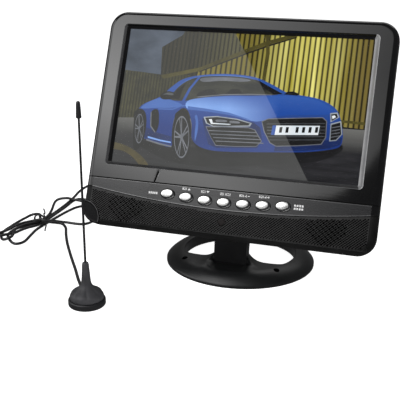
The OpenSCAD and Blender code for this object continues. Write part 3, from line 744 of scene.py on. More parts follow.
def make_cap():
    points = circle_points(CAP_X, CAP_Z, CAP_R, -13.9, 92.4, 24)
    points += circle_points(-112, 16, 15.7, 180, 270, 18)
    plate = Plate()
    rings = plate.loft([(points, 2.0), (points, -0.45)] + [(inset(points, d), y) for d, y in (
        (0.12, -0.75), (0.4, -0.95), (0.8, -1.0), (1.9, -0.98), (2.2, -0.82))])
    plate.fill([rings[-1]])
    # a ribbon of painted highlight along the cap's upper right rim
    arc = [(x, z, -0.96) for x, z in circle_points(CAP_X, CAP_Z, CAP_R - 0.7, -8, 88, 24)]
    add_object("corner_cap_rim_highlight", ribbon(arc, 0.4, 0.04), ["bevel_dim_highlight"], slot="cap_gloss")
    plate.done("corner_cap_face", ["cap_gloss"], "corner_cap")


def make_ir_window():
    plate = Plate()
    rings = plate.loft([(diamond_outline(r), y)
                        for r, y in ((3.72, 2.0), (3.72, 0.0), (3.4968, -0.16), (3.0504, -0.2))])
    plate.fill([rings[-1]])
    plate.done("ir_window_face", ["window_red"], "ir_window")


def make_button(i):
    """Silver dome on a stem; the stem, the sides and a crescent at the dome's lower right carry painted
    shade.
    """
    x, z = button_place(i)
    # share of the button's half sizes, and depth
    levels = [(0.58, 5.4), (0.58, 3.6), (1.13, 3.6), (1.13, 2.5), (1.0, 2.5), (1.0, -0.7),
              (0.99, -0.9), (0.965, -1.05), (0.93, -1.16), (0.89, -1.26), (0.84, -1.35),
              (0.79, -1.43), (0.73, -1.51), (0.67, -1.58), (0.6, -1.65), (0.5, -1.73),
              (0.38, -1.8), (0.26, -1.85), (0.06, -1.9)]
    sides, stem = 48, 5
    verts = [(x + a, y, z + b) for share, y in levels
             for a, b in ellipse(0, 0, BUTTON_A * share, BUTTON_B * share, sides)]
    # faces in painted shade: the stem, the sides and a crescent at the lower right
    owner = []
    for level in range(len(levels) - 1):
        share = (levels[level][0] + levels[level + 1][0]) / 2
        for k in range(sides):
            a = 2 * math.pi * (k + 0.5) / sides
            reach = math.hypot(share * math.cos(a) + 0.20, share * math.sin(a) - 0.24)
            owner.append(1 if level < stem or 0.90 < reach < 1.22 else 0)
    name = f"button_{i + 1}"
    add_object(name + "_cap", (verts, bands(len(levels), sides)), ["button_silver", "button_shade"],
               owner + [1, 0], body=name + "_body", hide=[name])


def raised(shape):
    """A thin print: the outline as a low prism on the face."""
    n = len(shape)
    verts = [(a, y, b) for y in (-0.06, 0.02) for a, b in shape]
    faces = [tuple(range(n))]
    return verts, faces + [(k, (k + 1) % n, (k + 1) % n + n, k + n) for k in range(n)]


def bar(x, z, w, h):
    return [(x, z), (x + w, z), (x + w, z + h), (x, z + h)]


def icon(kind, x, z):
    """Small generic marks that stand beside the buttons; x, z is the mark's left lower corner."""
    if kind == "mode":
        return [bar(x + 1.7 * k, z, 1.2, 1.9) for k in range(5)]
    if kind == "lines":
        return [bar(x + 2.1 * k, z + 2.6 * row, 1.5, 1.6) for row in (0, 1) for k in range(4)]
    if kind == "menu":
        return [bar(x, z + 0.75 * k, 3.2, 0.4) for k in range(3)] + [
            bar(x + 4.4, z, 0.5, 1.9), bar(x + 5.4, z, 0.5, 1.9), bar(x + 6.4, z, 1.6, 0.5),
            bar(x + 6.4, z + 1.4, 1.6, 0.5), bar(x + 8.4, z, 0.5, 1.9)]
    shapes = [bar(x, z, 1.0, 1.9), bar(x + 1.35, z + 1.35, 1.4, 0.55), bar(x + 1.35, z, 1.4, 0.55),
              bar(x + 3.15, z, 0.5, 1.9)]
    if kind == "up":
        return shapes + [[(x + 4.6, z), (x + 7.2, z), (x + 5.9, z + 1.9)]]
    if kind == "down":
        return shapes + [[(x + 4.6, z + 1.9), (x + 5.9, z), (x + 7.2, z + 1.9)]]
    shapes += [bar(x + 4.6, z + 0.2, 0.9, 0.9), bar(x + 5.7, z, 0.5, 1.9),
               bar(x + 7.0, z + 0.75, 1.9, 0.5)]
    if kind == "plus":
        shapes.append(bar(x + 7.7, z + 0.05, 0.5, 1.9))
    return shapes


def make_labels():
    """Marks beside the end buttons and above the others."""
    shapes = []
    for i, kind in enumerate(("mode", "up", "down", "menu", "minus", "plus", "lines")):
        dx, dz = {"mode": (-17.6, -1.2), "lines": (9.0, -1.6)}.get(kind, (-4.2, 6.4))
        x, z = button_place(i)
        shapes += icon(kind, x + dx, z + dz)
    add_object("button_marks", joined([raised(shape) for shape in shapes]), ["label_white"],
               slot="button_silver")


def over_edge(side, z_at):
    """Points from the panel's end over the head's rounded long side."""
    points = [(side * x, z_at(x), 0.0) for x in (121.45, 122.4)]
    for k in range(7):
        a = math.radians(15 * k)
        x = HEAD_W / 2 - EDGE_W + EDGE_W * math.sin(a)
        points.append((side * x, z_at(x), EDGE_D * (1 - math.cos(a))))
    return points


def make_seams():
    """Painted shade: dark ribbons for the grooves that carry the strip's edges round the head's sides,
    the short slanted groove and the dark lip behind the gap between strip and grille; and ribbons of
    painted highlight along the thin edges."""
    half, steps, groove_z = 121.4, 60, 41.8
    xs = [-half + 2 * half * k / steps for k in range(steps + 1)]
    dark = []
    for side in (-1, 1):
        dark.append(ribbon(over_edge(side, lambda x: groove_z), 1.0, 0.03))
        dark.append(ribbon(over_edge(side, smile), 0.6, 0.03))
    dark += [ribbon([(-61.6, 51.7, 0), (-62.85, 47.1, 0), (-64.1, 42.3, 0)], 1.5, 0.03),
             ribbon([(x, groove_z, 0) for x in xs], 1.0, 0.02),
             ribbon([(x, smile(x), 2.3) for x in xs], 3.0, 0.05)]
    lit = [ribbon([(x, smile(x) + 0.75, 0) for x in xs], 0.55, 0.05),
           ribbon([(x, 40.9, 0) for x in xs], 0.3, 0.03),
           ribbon([(-60.5, 51.7, 0), (-61.75, 47.1, 0), (-63.0, 42.4, 0)], 0.35, 0.03)]
    add_object("face_groove_shade", joined(dark), ["painted_shade_black"], slot="bezel_gloss")
    add_object("face_edge_highlights", joined(lit), ["edge_painted_highlight"], slot="bezel_gloss")


make_bezel()
make_seams()
make_strip()
make_grille()
make_cap()
make_ir_window()
for number in range(7):
    make_button(number)
make_labels()


# ---- screen picture ----

def picture_tone(name, dark, light, scale, stretch=(1, 1, 1), ribs=None, fades=()):
    """Lit picture tone: noise between two colours, fades (axis, from, to, colour), and optional
    upright ribs (pitch, darkness between them)."""
    p = Painter("pic_" + name)
    x, _, z = p.split()
    colour = p.mixed(p.mapped(p.noise(scale, 4.0, p.stretched(stretch)), 0.0, 1.0), dark, light)
    for axis, start, stop, shade in fades:
        amount = p.mapped(x if axis == "x" else z, 0.0, 1.0, start * MM, stop * MM)
        colour = p.mixed(amount, colour, shade)
    if ribs:
        pitch, low = ribs
        wave = p.maths("FRACT", p.maths("MULTIPLY", x, 1000.0 / pitch))
        step = p.maths("MULTIPLY", p.maths("ABSOLUTE", p.maths("SUBTRACT", wave, 0.5)), 2.0)
        colour = p.mixed(p.mapped(step, low, 1.0, 0.12, 0.6), (0, 0, 0), colour)
    # painted glare: a pale reflection added over the part left of the slanted line from (-12, 181) to
    # (67.5, 56)
    line = p.maths("ADD", p.maths("MULTIPLY", x, 125.0), p.maths("MULTIPLY", z, 79.5))
    painted_glare = p.maths("MULTIPLY", p.mapped(line, 1.0, 0.0, 12.85, 12.95),
                   p.mapped(p.noise(9.0, 2.0), 0.85, 1.1))
    p.set(Base_Color=(0.01, 0.01, 0.01), Roughness=0.6, Specular_IOR_Level=0.0,
          Emission_Color=p.mixed(painted_glare, colour, (0.066, 0.067, 0.064), "ADD"), Emission_Strength=1.0)
    return p.material


# draws a tone's patches out into upright streaks
UPRIGHT = (2.0, 1, 0.12)
PICTURE_TONES = [
    picture_tone("sky", (0.016, 0.027, 0.048), (0.080, 0.103, 0.145), 34, (1, 1, 1.8)),
    picture_tone("wall_grey", (0.018, 0.016, 0.007), (0.030, 0.027, 0.012), 70, UPRIGHT, (3.6, 0.12),
                 [("x", -48, -12, (0.085, 0.078, 0.030))]),
    picture_tone("wall_yellow", (0.42, 0.35, 0.022), (1.0, 0.93, 0.28), 70, UPRIGHT, (4.4, 0.05),
                 [("x", 50, 6, (0.20, 0.165, 0.026)), ("x", 60, 100, (0.19, 0.145, 0.032))]),
    picture_tone("fence", (0.016, 0.016, 0.007), (0.062, 0.058, 0.020), 120, ribs=(2.8, 0.2)),
    picture_tone("beam", (0.045, 0.038, 0.008), (0.10, 0.085, 0.014), 90),
    picture_tone("ground", (0.007, 0.007, 0.009), (0.026, 0.026, 0.030), 110, (0.3, 1, 2.2),
                 fades=[("z", 82, 104, (0.165, 0.165, 0.155))]),
    picture_tone("curve", (0.05, 0.04, 0.012), (0.085, 0.066, 0.02), 140),
    picture_tone("shadow", (0.004, 0.004, 0.005), (0.010, 0.010, 0.012), 80),
    picture_tone("blue", (0.004, 0.026, 0.17), (0.007, 0.040, 0.24), 30,
                 fades=[("z", 92, 126, (0.022, 0.085, 0.36))]),
    picture_tone("blue_light", (0.19, 0.37, 0.82), (0.26, 0.45, 0.92), 26,
                 fades=[("x", -8, 36, (0.010, 0.068, 0.36)),
                        ("z", 112.5, 125.5, (0.030, 0.105, 0.42))]),
    picture_tone("blue_dark", (0.003, 0.014, 0.085), (0.006, 0.026, 0.14), 50),
    picture_tone("glass", (0.012, 0.014, 0.013), (0.055, 0.055, 0.038), 60, (0.5, 1, 2)),
    picture_tone("black", (0.002, 0.002, 0.003), (0.006, 0.006, 0.007), 70),
    picture_tone("silver", (0.22, 0.25, 0.29), (0.42, 0.46, 0.50), 90),
    picture_tone("grey", (0.045, 0.050, 0.060), (0.10, 0.11, 0.12), 90),
    picture_tone("white", (0.70, 0.78, 0.85), (0.9, 0.93, 0.95), 90),
    picture_tone("blue_mid", (0.045, 0.13, 0.44), (0.07, 0.17, 0.52), 26,
                 fades=[("x", 5, 50, (0.006, 0.058, 0.33))]),
    picture_tone("steel", (0.11, 0.12, 0.14), (0.20, 0.21, 0.24), 90),
]
SKY, WALL_G, WALL_Y, FENCE, BEAM, GROUND, CURVE, SHADOW, BLUE, BLUE_L, BLUE_D, GLASS, BLACK, \
    SILVER, GREY, WHITE, BLUE_M, STEEL = range(len(PICTURE_TONES))
# the visible picture: left, right, foot and top; and the height of the window's middle
VIEW_BOX = (-108.6, 108.6, 56.6, 178.8)
VIEW_MIDDLE = 117.7
# marks an outline whose corners are rounded
SOFT = True

# the picture's layers from back to front, in millimetres on the face: tone, outline, perhaps SOFT;
# ribbed walls, sky, beams and wet ground
SCENERY = [
    (WALL_G, [(-110, 180), (110, 182), (110, 100), (-110, 90)]),
    (SKY, [(-110, 180), (-56, 181), (-58.5, 175.5), (-76.5, 163.5), (-74, 137), (-110, 141)]),
    (WALL_Y, [(-12.5, 181), (109, 181), (109, 100), (42, 104), (-4, 120), (-42, 133), (-39, 147),
        (0.5, 161)]),
    (FENCE, [(-110, 141), (-73, 138.5), (-60, 141), (-40, 138), (-48, 110), (-110, 92)]),
    (BEAM, [(-74, 138), (-39, 147), (0, 165.5), (16.5, 173), (43, 182), (43, 178.4), (19.5, 169.8),
        (0.5, 161.8), (-39, 143.6), (-71.5, 135)]),
    (SHADOW, [(-39, 143.6), (0.5, 161.8), (19.5, 169.8), (43, 178.4), (43, 177.4), (19.5, 168.6),
        (0.5, 160.6), (-39, 142.6)]),
    (BEAM, [(15.8, 181), (18.4, 181), (21.4, 163), (20.6, 138), (17.6, 138), (18.2, 163)]),
    (BEAM, [(84, 108), (109, 107), (109, 109.4), (84, 110)]),
    (SHADOW, [(44, 103), (109, 100.6), (109, 103.5), (46, 106)]),
    (GROUND, [(-110, 97), (-53, 101), (110, 103), (110, 55), (-110, 55)]),
    (CURVE, [(-112, 74.5), (-97.5, 72.5), (-83, 65.5), (-74, 57), (-80, 55), (-90, 63), (-100, 67.5),
        (-112, 69)], SOFT),
    (SHADOW, [(-90, 78), (-70, 67), (-50, 61.5), (-26, 60.5), (24, 66), (70, 73), (91, 83.5), (88, 90),
        (60, 84), (0, 78), (-40, 76)], SOFT),
]
# a plain blue coupe, its front to the lower right
CAR_OUTLINE = [(-89, 83.5), (-92.5, 93.5), (-91.5, 102.5), (-87, 110.5), (-72, 118.5), (-62.5, 128),
    (-53, 135.5), (-38, 140), (-17.5, 142.5), (0.5, 142.5), (14.5, 140.5), (29, 135), (42, 129.5),
    (64, 127), (76.5, 123), (85, 116.5), (89.5, 105), (91.5, 95.5), (90, 88), (82, 84.5), (62, 80.6),
    (36.5, 78.2), (17, 76.6), (-2.5, 75.2), (-18, 75), (-30, 77.5), (-37.5, 84), (-39.5, 97), (-44.5, 108),
    (-50.5, 109.5), (-55.5, 102), (-56.5, 90), (-55, 75.6), (-65.5, 76), (-80, 80)]
CAR_PARTS = [
    (BLACK, [(-38, 84), (-30, 72.5), (-2.5, 70), (36.5, 73.5), (62, 76), (82, 80), (91, 87), (88, 92),
        (40, 86), (-20, 80)]),
    (BLUE, CAR_OUTLINE, SOFT),
    # roof and pillars
    (BLUE_M, [(-57, 128.5), (-49, 135), (-38, 139.4), (-17.5, 141.8), (0.5, 141.8), (13, 140), (0.5, 140.4),
        (-17, 140.4), (-37.5, 138.2), (-48, 133)]),
    # side
    (BLUE_D, [(-90, 84), (-81, 81), (-66, 78), (-55.5, 76.6), (-56, 84), (-68, 86), (-76, 89), (-90, 93)]),
    (BLUE_M, [(-88, 107), (-72, 108.5), (-59, 109.5), (-50.5, 112.8), (-60, 116), (-71, 117.5),
        (-82, 113)], SOFT),
    (BLUE_L, [(-78, 82.6), (-66, 80.4), (-56, 79.4), (-56, 78.2), (-66, 79), (-78, 81)]),
    (STEEL, [(-79, 80), (-66, 77.4), (-55, 75.8), (-55, 74.6), (-66, 75.8), (-79, 78.6)]),
    (BLACK, [(-78, 104.5), (-72, 106.5), (-69.5, 95), (-71.5, 86.5), (-76.8, 91.5)], SOFT),
    (STEEL, [(-78.6, 104), (-77.8, 104.6), (-76.2, 92), (-71.6, 86.8), (-71.9, 86), (-77.2, 91.2)]),
    (BLUE, [(-70, 103), (-64, 105.2), (-58.5, 105), (-57.6, 98), (-58.4, 91), (-63, 90),
        (-68.4, 93)], SOFT),
    (BLUE_M, [(-72, 108), (-58.5, 108.8), (-50.5, 112.4), (-44, 113.2), (-44.4, 112.2), (-51, 111.2),
        (-58.5, 107.6), (-72, 107.1)]),
    # windows
    (GLASS, [(-62, 117), (-58, 126), (-49.5, 133.9), (-37.5, 138.6), (-17, 140.6), (0.5, 140.6),
        (13.5, 138.4), (25.5, 133.4), (34, 128), (15.5, 125.6), (-12, 123.6), (-35, 120),
        (-48, 116.6)], SOFT),
    (STEEL, [(-36, 137.6), (-17, 139.6), (0.5, 139.6), (8, 138.2), (0, 136.6), (-17, 136.4),
        (-34, 134.4)], SOFT),
    (SHADOW, [(-38, 123.4), (-31, 127.6), (-24, 128.2), (-20, 125), (-12, 125.8), (-8, 129.6), (-1, 129.8),
        (3, 126.6), (18, 127.4), (-12, 124.4), (-35, 121)], SOFT),
    (BLACK, [(-60.5, 118), (-57, 126), (-49.5, 132.5), (-52.5, 124), (-53.5, 117.2)]),
    (BLUE, [(-51.2, 116), (-48.4, 116.4), (-44.2, 127.5), (-37, 138.4), (-39.5, 138), (-46.6, 127.5)]),
    (BLACK, [(11, 139.4), (16, 138.2), (27, 133), (37.5, 128.2), (29.5, 127.4), (19.5, 133)]),
    (STEEL, [(-37.5, 121), (-15, 124.7), (10, 126.7), (28, 127.2), (28, 126.6), (10, 125.9), (-15, 123.8),
        (-37.5, 120.3)]),
    # bonnet and front wing
    (BLUE_L, [(-44, 117.6), (-14.5, 122.8), (15.5, 125), (42, 127), (64, 125.6), (78, 120), (84, 115),
        (60, 112), (40, 110), (22, 104), (13, 103.4), (-7.5, 107.6), (-28, 109.4), (-45, 109.6)], SOFT),
    (BLUE_M, [(-45, 112), (-28, 111), (-7.5, 109), (8, 105.4), (13, 103.8), (-7.5, 107), (-28, 108.6),
        (-45, 109)]),
    (BLUE_M, [(-37.4, 103.5), (-35.6, 104.5), (-33.6, 98), (-33.2, 90), (-34.4, 82), (-35.6, 90),
        (-35.8, 98)], SOFT),
    (BLACK, [(-71.6, 118.6), (-70, 122.2), (-65, 124), (-59, 123), (-57.2, 120.4), (-59, 117.6),
        (-66, 116.4), (-70, 116.8)], SOFT),
    (GREY, [(-69.6, 120.6), (-65, 122.8), (-60, 122.2), (-60.4, 120.6), (-66, 120.8)], SOFT),
    (BLACK, [(38, 128), (41, 130.6), (46, 131.2), (50.5, 129.6), (50, 127.8)]),
    # front
    (BLUE_D, [(15.5, 102), (21.5, 98), (24.5, 88), (21, 80.4), (-14, 77.6), (-22, 80), (-27, 92),
        (-30.5, 102), (-17, 105), (0.5, 104)]),
    (BLUE_D, [(36, 79.2), (62, 81.6), (82, 85.4), (90, 89), (91, 95), (78, 92), (60, 86.4), (36, 84)]),
    (SILVER, [(-29.5, 103.6), (-17.5, 105.2), (0.5, 104.2), (14, 101.4), (12.5, 98.4), (-6, 96.8),
        (-20, 95.8), (-26.5, 98)]),
    (BLACK, [(-28, 103), (-17.5, 104.3), (0.5, 103.3), (12.2, 100.9), (11, 99.1), (-6, 97.5), (-19.8, 96.5),
        (-25.4, 98.6)]),
    (WHITE, [(-24.5, 101.9), (-21.8, 102.2), (-20.5, 99), (-4, 99.2), (-6, 98.4), (-22, 97.9)]),
    (STEEL, [(-18, 101.8), (-13, 102.4), (-8.5, 102), (-9, 100.6), (-17, 100.2)], SOFT),
    (STEEL, [(-5.5, 101.8), (-1, 102.2), (3, 101.6), (2.6, 100.3), (-5, 100.2)], SOFT),
    (STEEL, [(-26.5, 95.4), (-8.5, 96.5), (11.5, 97.5), (17.5, 96), (24.5, 86.5), (20.2, 81.4), (1, 79.9),
        (-15.4, 79.4), (-20.6, 86)]),
    (BLACK, [(-25.6, 94.8), (-8.5, 95.9), (11.5, 96.9), (17, 95.4), (23.8, 86.6), (19.9, 81.9), (1, 80.4),
        (-15.1, 79.9), (-20.2, 86.3)]),
]
RIGHT_LAMP = [
    (SILVER, [(78.8, 115), (84.8, 116), (86.6, 112), (80, 107.2)]),
    (BLACK, [(79.8, 114), (84.2, 114.8), (85.6, 112), (80.8, 108.4)]),
    (WHITE, [(80.4, 112.6), (82.6, 113.4), (84, 112), (81.4, 110)]),
    (SILVER, [(80.2, 106.2), (88.6, 109), (90.8, 98), (86.6, 92.2), (80.8, 91.2)]),
    (BLACK, [(81, 105.2), (87.9, 107.8), (89.9, 98), (86, 93), (81.6, 92.2)]),
]
GRILLE_FRAME = [
    (STEEL, [(22, 103.6), (27.4, 106.5), (52, 109), (73.1, 111), (77, 108.2), (78, 94.4), (74.8, 88),
        (55, 85), (37, 83.1), (31.2, 85.6), (25, 95)]),
    (BLACK, [(22.8, 103.2), (27.6, 105.8), (52, 108.3), (72.9, 110.3), (76.3, 107.8), (77.2, 94.5),
        (74.2, 88.6), (55, 85.7), (37.2, 83.8), (31.8, 86.2), (25.8, 95)]),
]
# a blank number plate; plain blocks stand on it instead of signs
NUMBER_PLATE = [
    (WHITE, [(31.5, 92.6), (71, 95.8), (71.6, 103.6), (32, 100.8)]),
    (BLUE_M, [(31.5, 92.6), (34.6, 92.85), (35.1, 101.1), (32, 100.8)]),
]


def clipped(points):
    """Cuts a polygon to the visible picture."""
    x0, x1, z0, z1 = VIEW_BOX
    for axis, limit, keep_low in ((0, x0, False), (0, x1, True), (1, z0, False), (1, z1, True)):
        cut = []
        for i, p in enumerate(points):
            q = points[(i + 1) % len(points)]
            p_in, q_in = ((v <= limit) if keep_low else (v >= limit) for v in (p[axis], q[axis]))
            if p_in:
                cut.append(p)
            if p_in != q_in:
                t = (limit - p[axis]) / (q[axis] - p[axis])
                cut.append((p[0] + t * (q[0] - p[0]), p[1] + t * (q[1] - p[1])))
        points = cut
    return points


def slats(tone_number, x0, z0, x1, z1, dx, dz, count, h):
    """Parallel thin bars from the first line to the one moved by dx, dz."""
    bars = []
    for k in range(count):
        t = k / (count - 1)
        ax, az, bx, bz = x0 + dx * t, z0 + dz * t, x1 + dx * t, z1 + dz * t
        bars.append((tone_number, [(ax, az), (bx, bz), (bx, bz + h), (ax, az + h)]))
    return bars


def wheel(arch, cx, cz, a, b, lean):
    """Layers of a wheel in its arch: tyre, rim, well and five spokes."""
    def place(u, w, dx=0.4):
        return cx + dx + a * u + lean * b * w, cz + b * w

    def oval(share, dx=0.4):
        turns = [math.pi * k / 14 for k in range(28)]
        return [place(share * math.cos(t), share * math.sin(t), dx) for t in turns]

    layers = [(BLACK, arch, SOFT), (BLACK, oval(1.0, 0.0)), (STEEL, oval(0.8)),
              (SHADOW, oval(0.74))]
    for k in range(5):
        for side in (-0.15, 0.15):
            t = 2 * math.pi * k / 5 + 0.5 + side
            c, s = math.cos(t), math.sin(t)
            layers.append((STEEL, [place(c * far - s * off, s * far + c * off) for far, off in (
                (0.12, -0.04), (0.76, -0.028), (0.76, 0.028), (0.12, 0.04))]))
    return layers + [(STEEL, oval(0.15))]


def picture_layers():
    """(tone, outline) or (tone, outline, SOFT), from back to front."""
    layers = SCENERY + CAR_PARTS + slats(STEEL, -23.5, 91.6, 18.6, 93.2, 7.5, -8.6, 4, 0.8)
    layers += RIGHT_LAMP + slats(STEEL, 81.4, 102.4, 88.4, 104.2, 0.2, -8.0, 4, 0.7)
    layers += GRILLE_FRAME + slats(GREY, 26.8, 101.4, 75.6, 105.6, 2.2, -13.6, 6, 0.6)
    layers += NUMBER_PLATE
    for k in range(6):
        x = 38 + 5.4 * k + (3 if k > 1 else 0)
        z = 94.6 + 0.08 * (x - 32)
        layers.append((BLACK, [(x, z), (x + 2.4, z + 0.2), (x + 2.6, z + 5), (x + 0.2, z + 4.8)]))
    layers += wheel([(-93.5, 99), (-92.5, 104.5), (-88.5, 106.5), (-83.5, 103.5), (-81, 94),
                     (-81.5, 80), (-84, 72), (-90, 71)], -87.4, 88.6, 5.2, 16.6, -0.1)
    return layers + wheel([(-55.6, 100), (-54, 106), (-50, 108.2), (-45, 106.5), (-40.5, 98),
                           (-38.5, 86), (-42, 72), (-52, 70)], -47.2, 84.3, 8.7, 23.2, -0.12)


def sheet(w, h, back, edge, front, name, look, hide):
    """A flat rectangular module behind the window, its front edge bevelled."""
    box = rounded_rect(w, h, VIEW_MIDDLE - h / 2, 0.4, 1)
    plate = Plate()
    rings = plate.loft([(box, back), (box, edge), (inset(box, 0.2), front)])
    plate.fill([rings[-1]])
    plate.fill([rings[0]])
    plate.done(name, [look], hide)


def make_picture():
    """The lit panel: a dark module whose front carries the layered picture."""
    front, gap, step = 5.2, 0.010, 0.0045
    sheet(229, 132, 11.2, 5.3, front, "lcd_module", "panel_dark", "lcd_panel")
    parts, owner = [], []
    for number, (tone_number, outline, *soft) in enumerate(picture_layers()):
        points = clipped(smoothed(outline, 5, closed=True) if soft else outline)
        y = front - gap - step * number
        work = bmesh.new()
        ring = [work.verts.new((x, y, z)) for x, z in points]
        edges = [work.edges.new(pair) for pair in zip(ring, ring[1:] + ring[:1])]
        bmesh.ops.triangle_fill(work, use_beauty=True, edges=edges, normal=(0, -1, 0))
        for face in work.faces:
            if face.normal.y > 0:
                face.normal_flip()
        work.verts.index_update()
        faces = [tuple(v.index for v in face.verts) for face in work.faces]
        parts.append(([v.co.copy() for v in work.verts], faces))
        owner += [tone_number] * len(faces)
        work.free()
    verts, faces = joined(parts)
    mesh = bpy.data.meshes.new("picture")
    mesh.from_pydata([v * MM for v in verts], [], faces)
    for material in PICTURE_TONES:
        mesh.materials.append(material)
    mesh.polygons.foreach_set("material_index", owner)
    placed("screen_picture", mesh, [], angle=None, slot="panel_dark")


def lens_material():
    """Clear window sheet with faint smears."""
    p = Painter("lens_clear")
    smear = p.noise(60.0, 5.0)
    p.set(Base_Color=p.mixed(p.mapped(smear, 0.0, 1.0), (0.02, 0.02, 0.022), (0.05, 0.05, 0.05)),
          Roughness=p.mapped(p.noise(700.0), 0.3, 0.4), Specular_IOR_Level=0.0,
          Alpha=p.mapped(smear, 0.03, 0.05))
    return p.material


make_picture()
M["lens_clear"] = lens_material()
sheet(226, 129, 4.6, 4.1, 3.9, "window_sheet", "lens_clear", "screen_lens")


# ---- antenna ----

ANT_X, ANT_Y = -96, -101.5


def antenna_piece(name, profile, sides, look, hide, swell=None, angle=32):
    place = Matrix.Translation((ANT_X * MM, ANT_Y * MM, 0))
    add_object(name, turned(profile, sides, swell), [look], body="stand", place=place,
               angle=angle, hide=hide, slot="whip_black")


def folds(a, z):
    """Soft pleats around the skirt's shoulder."""
    strength = max(0.0, 1 - abs(z - 12.4) / 5.5)
    return 1 - 0.11 * strength * (1 - abs(math.sin(3.5 * a + 0.2 + 0.05 * z)))


def make_antenna():
    antenna_piece("antenna_foot_body", [
        (0.5, 0), (14.4, 0), (15.0, 0.2), (15.4, 0.7), (15.5, 1.2), (15.5, 4.2), (15.35, 4.9),
        (15.0, 5.3), (14.4, 5.5), (0.5, 5.5)], 72, "whip_black", ["antenna_foot", "antenna_magnet"])
    antenna_piece("antenna_skirt_body", [
        (13.5, 5.5), (13.9, 5.8), (14.1, 7.2), (14.1, 8.5), (13.9, 9.6), (13.4, 10.5), (12.3, 11.5),
        (10.9, 12.5), (9.2, 13.5), (7.6, 14.5), (6.4, 15.5), (5.5, 16.5), (4.8, 17.6), (4.3, 19),
        (3.9, 21), (3.65, 24), (3.4, 27.5), (3.15, 31), (2.95, 34), (2.85, 35.4), (2.6, 36.6),
        (2.3, 37.2), (1.5, 37.6), (0.8, 37.6)], 160, "skirt_rubber", ["antenna_skirt"], folds, 40)
    antenna_piece("antenna_rod", [
        (1.0, 37.0), (1.0, 60), (0.98, 90), (0.95, 120), (0.9, 157.5)], 20, "whip_black",
        ["antenna_whip"])
    antenna_piece("antenna_tip_cap", [
        (0.9, 156.8), (1.8, 156.8), (2.1, 157.1), (2.2, 157.6), (2.1, 160), (1.9, 164), (1.72, 168),
        (1.6, 168.8), (1.3, 169.5), (0.9, 169.9), (0.3, 170)], 32, "whip_black", ["antenna_tip"])


make_antenna()


# ---- stand ----

# half sizes and middle of the ring's outline, height of its top and of its rim
BASE_A, BASE_B, BASE_Y, BASE_H, RIM_H = 69.0, 65.0, 28.0, 11.0, 2.3
# how far in from the rim the dome reaches its height
DOME_RUN = 16.5
# the saddle's height above the dome, how far out it reaches, the width of its slope, its back end
SADDLE_H, SADDLE_X, SADDLE_RUN, SADDLE_BACK = 9.0, 33, 19.5, 20
# half sizes of the opening, and where its straight front edge lies
HOLE_A, HOLE_B, HOLE_FRONT = 51.5, 47.5, 3.2
# the two fixing holes
FIX_X, FIX_Y, FIX_R = 42.5, -8, 2.6


def eased(t):
    t = min(max(t, 0.0), 1.0)
    return t * t * (3 - 2 * t)


def base_height(x, y):
    """Top of the stand: a dome that rises to the ring, and the concave saddle round the post."""
    mean = (BASE_A + BASE_B) / 2
    depth = (1 - math.hypot(x / BASE_A, (y - BASE_Y) / BASE_B)) * mean
    t = min(max(depth / DOME_RUN, 0), 1)
    dome = RIM_H + (BASE_H - RIM_H) * (1 - (1 - t) ** 2.2)
    ax = abs(x)
    slope = min(max((SADDLE_X - ax) / SADDLE_RUN, 0), 1)
    rise = SADDLE_H * slope ** 3 if y < SADDLE_BACK else 0.0
    # the side fillets run on in front of the post and fade out, the middle stays flat
    beside = eased((ax - 12) / 12)
    near = eased((y + 9 + 4 * beside) / 6)
    far = eased((y + 30) / 21)
    return dome + rise * (near + 0.7 * (1 - near) * beside * far)


def hole_radius(a):
    """Distance from the middle of the opening to its edge, an oval cut straight in front."""
    c, s = math.cos(a), math.sin(a)
    oval = 1 / math.sqrt((c / HOLE_A) ** 2 + (s / HOLE_B) ** 2)
    if s > -0.05:
        return oval
    flat = (BASE_Y - HOLE_FRONT) / -s
    return (oval ** -14 + flat ** -14) ** (-1 / 14)


def rim_radius(a):
    return 1 / math.sqrt((math.cos(a) / BASE_A) ** 2 + (math.sin(a) / BASE_B) ** 2)


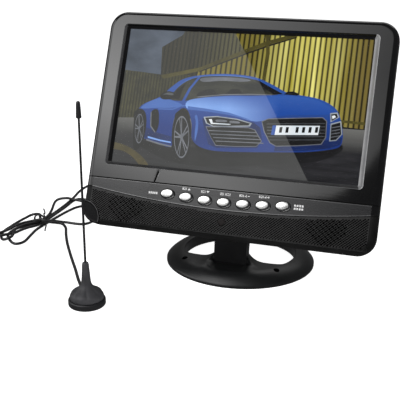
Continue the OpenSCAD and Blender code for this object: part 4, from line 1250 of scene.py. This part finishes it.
def base_shape():
    """Rings from inside the opening, over the top and down the outer rim."""
    around, across = 288, 40
    verts, faces = [], []

    def ring(radius_at, grow, z=None, drop=0.0):
        for k in range(around):
            a = 2 * math.pi * k / around
            r = radius_at(a) + grow
            x, y = r * math.cos(a), BASE_Y + r * math.sin(a)
            verts.append(Vector((x, y, base_height(x, y) - drop if z is None else z)))

    for grow, z in ((1.8, 1.5), (1.8, 0.0), (0.3, 0.0), (0.0, 0.3), (0.0, 5.0)):
        ring(hole_radius, grow, z)
    for grow, drop in ((0.0, 0.9), (0.12, 0.5), (0.4, 0.2), (0.9, 0.0)):
        ring(hole_radius, grow, drop=drop)
    for j in range(1, across):
        share = j / across
        ring(lambda a: (hole_radius(a) + 0.9) * (1 - share) + (rim_radius(a) - 0.05) * share, 0.0)
    for grow, z in ((-0.02, RIM_H), (0.0, 1.9), (0.0, 0.35), (-0.3, 0.0), (-1.6, 0.0), (-1.6, 1.5)):
        ring(rim_radius, grow, z)
    count = len(verts) // around
    for i in range(count):
        a, b = i * around, (i + 1) % count * around
        faces += [(a + k, a + (k + 1) % around, b + (k + 1) % around, b + k) for k in range(around)]
    return verts, faces


def make_base():
    base = add_object("stand_shell", base_shape(), ["shell_black", "painted_shade_black"], body="stand",
                      place=WORLD, angle=40, hide=["base_shell"])
    for side in (-1, 1):
        verts, faces = turned([(FIX_R, -3), (FIX_R, 20)], 32)
        mesh = bpy.data.meshes.new("hole_cutter")
        mesh.from_pydata([(v + Vector((side * FIX_X, FIX_Y, 0))) * MM for v in verts], [], faces)
        cutter = bpy.data.objects.new("hole_cutter", mesh)
        scene.collection.objects.link(cutter)
        cut = base.modifiers.new("hole", "BOOLEAN")
        cut.operation = "DIFFERENCE"
        cut.solver = "EXACT"
        cut.object = cutter
        bpy.context.view_layer.update()
        shape = bpy.data.meshes.new_from_object(
            base.evaluated_get(bpy.context.evaluated_depsgraph_get()))
        base.modifiers.remove(cut)
        base.data = shape
        bpy.data.objects.remove(cutter)
    # the fixing holes' walls carry painted shade
    for polygon in base.data.polygons:
        x, y, _ = polygon.center / MM
        if math.hypot(abs(x) - FIX_X, y - FIX_Y) < FIX_R + 0.05:
            polygon.material_index = 1


make_base()


# ---- the part's own shapes, painted ----

PAINTED = {
    "shell_hidden": ["base_plate"], "rubber_black": ["base_pads"],
    "screw_steel": ["base_screws", "post_screws", "housing_screws", "bracket_screws"],
    "post_black": ["post", "hinge_bracket"], "pin_steel": ["hinge_pin", "friction_washers"],
    "cover_matte": ["rear_cover"], "frame_metal": ["lcd_frame"],
    "board_green": ["main_board", "inverter_board", "key_board"],
    "can_tin": ["tuner_can", "switch_housing"], "battery_blue": ["battery_pack"],
    "speaker_dark": ["speaker_left", "speaker_right"], "brass": ["antenna_jack", "av_jack"],
    "socket_black": ["dc_jack", "phone_jack"], "knob_black": ["power_switch"],
}
for look_name, node_names in PAINTED.items():
    for node_name in node_names:
        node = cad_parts[node_name]
        node.data.materials.clear()
        node.data.materials.append(M[look_name])

bpy.context.view_layer.update()
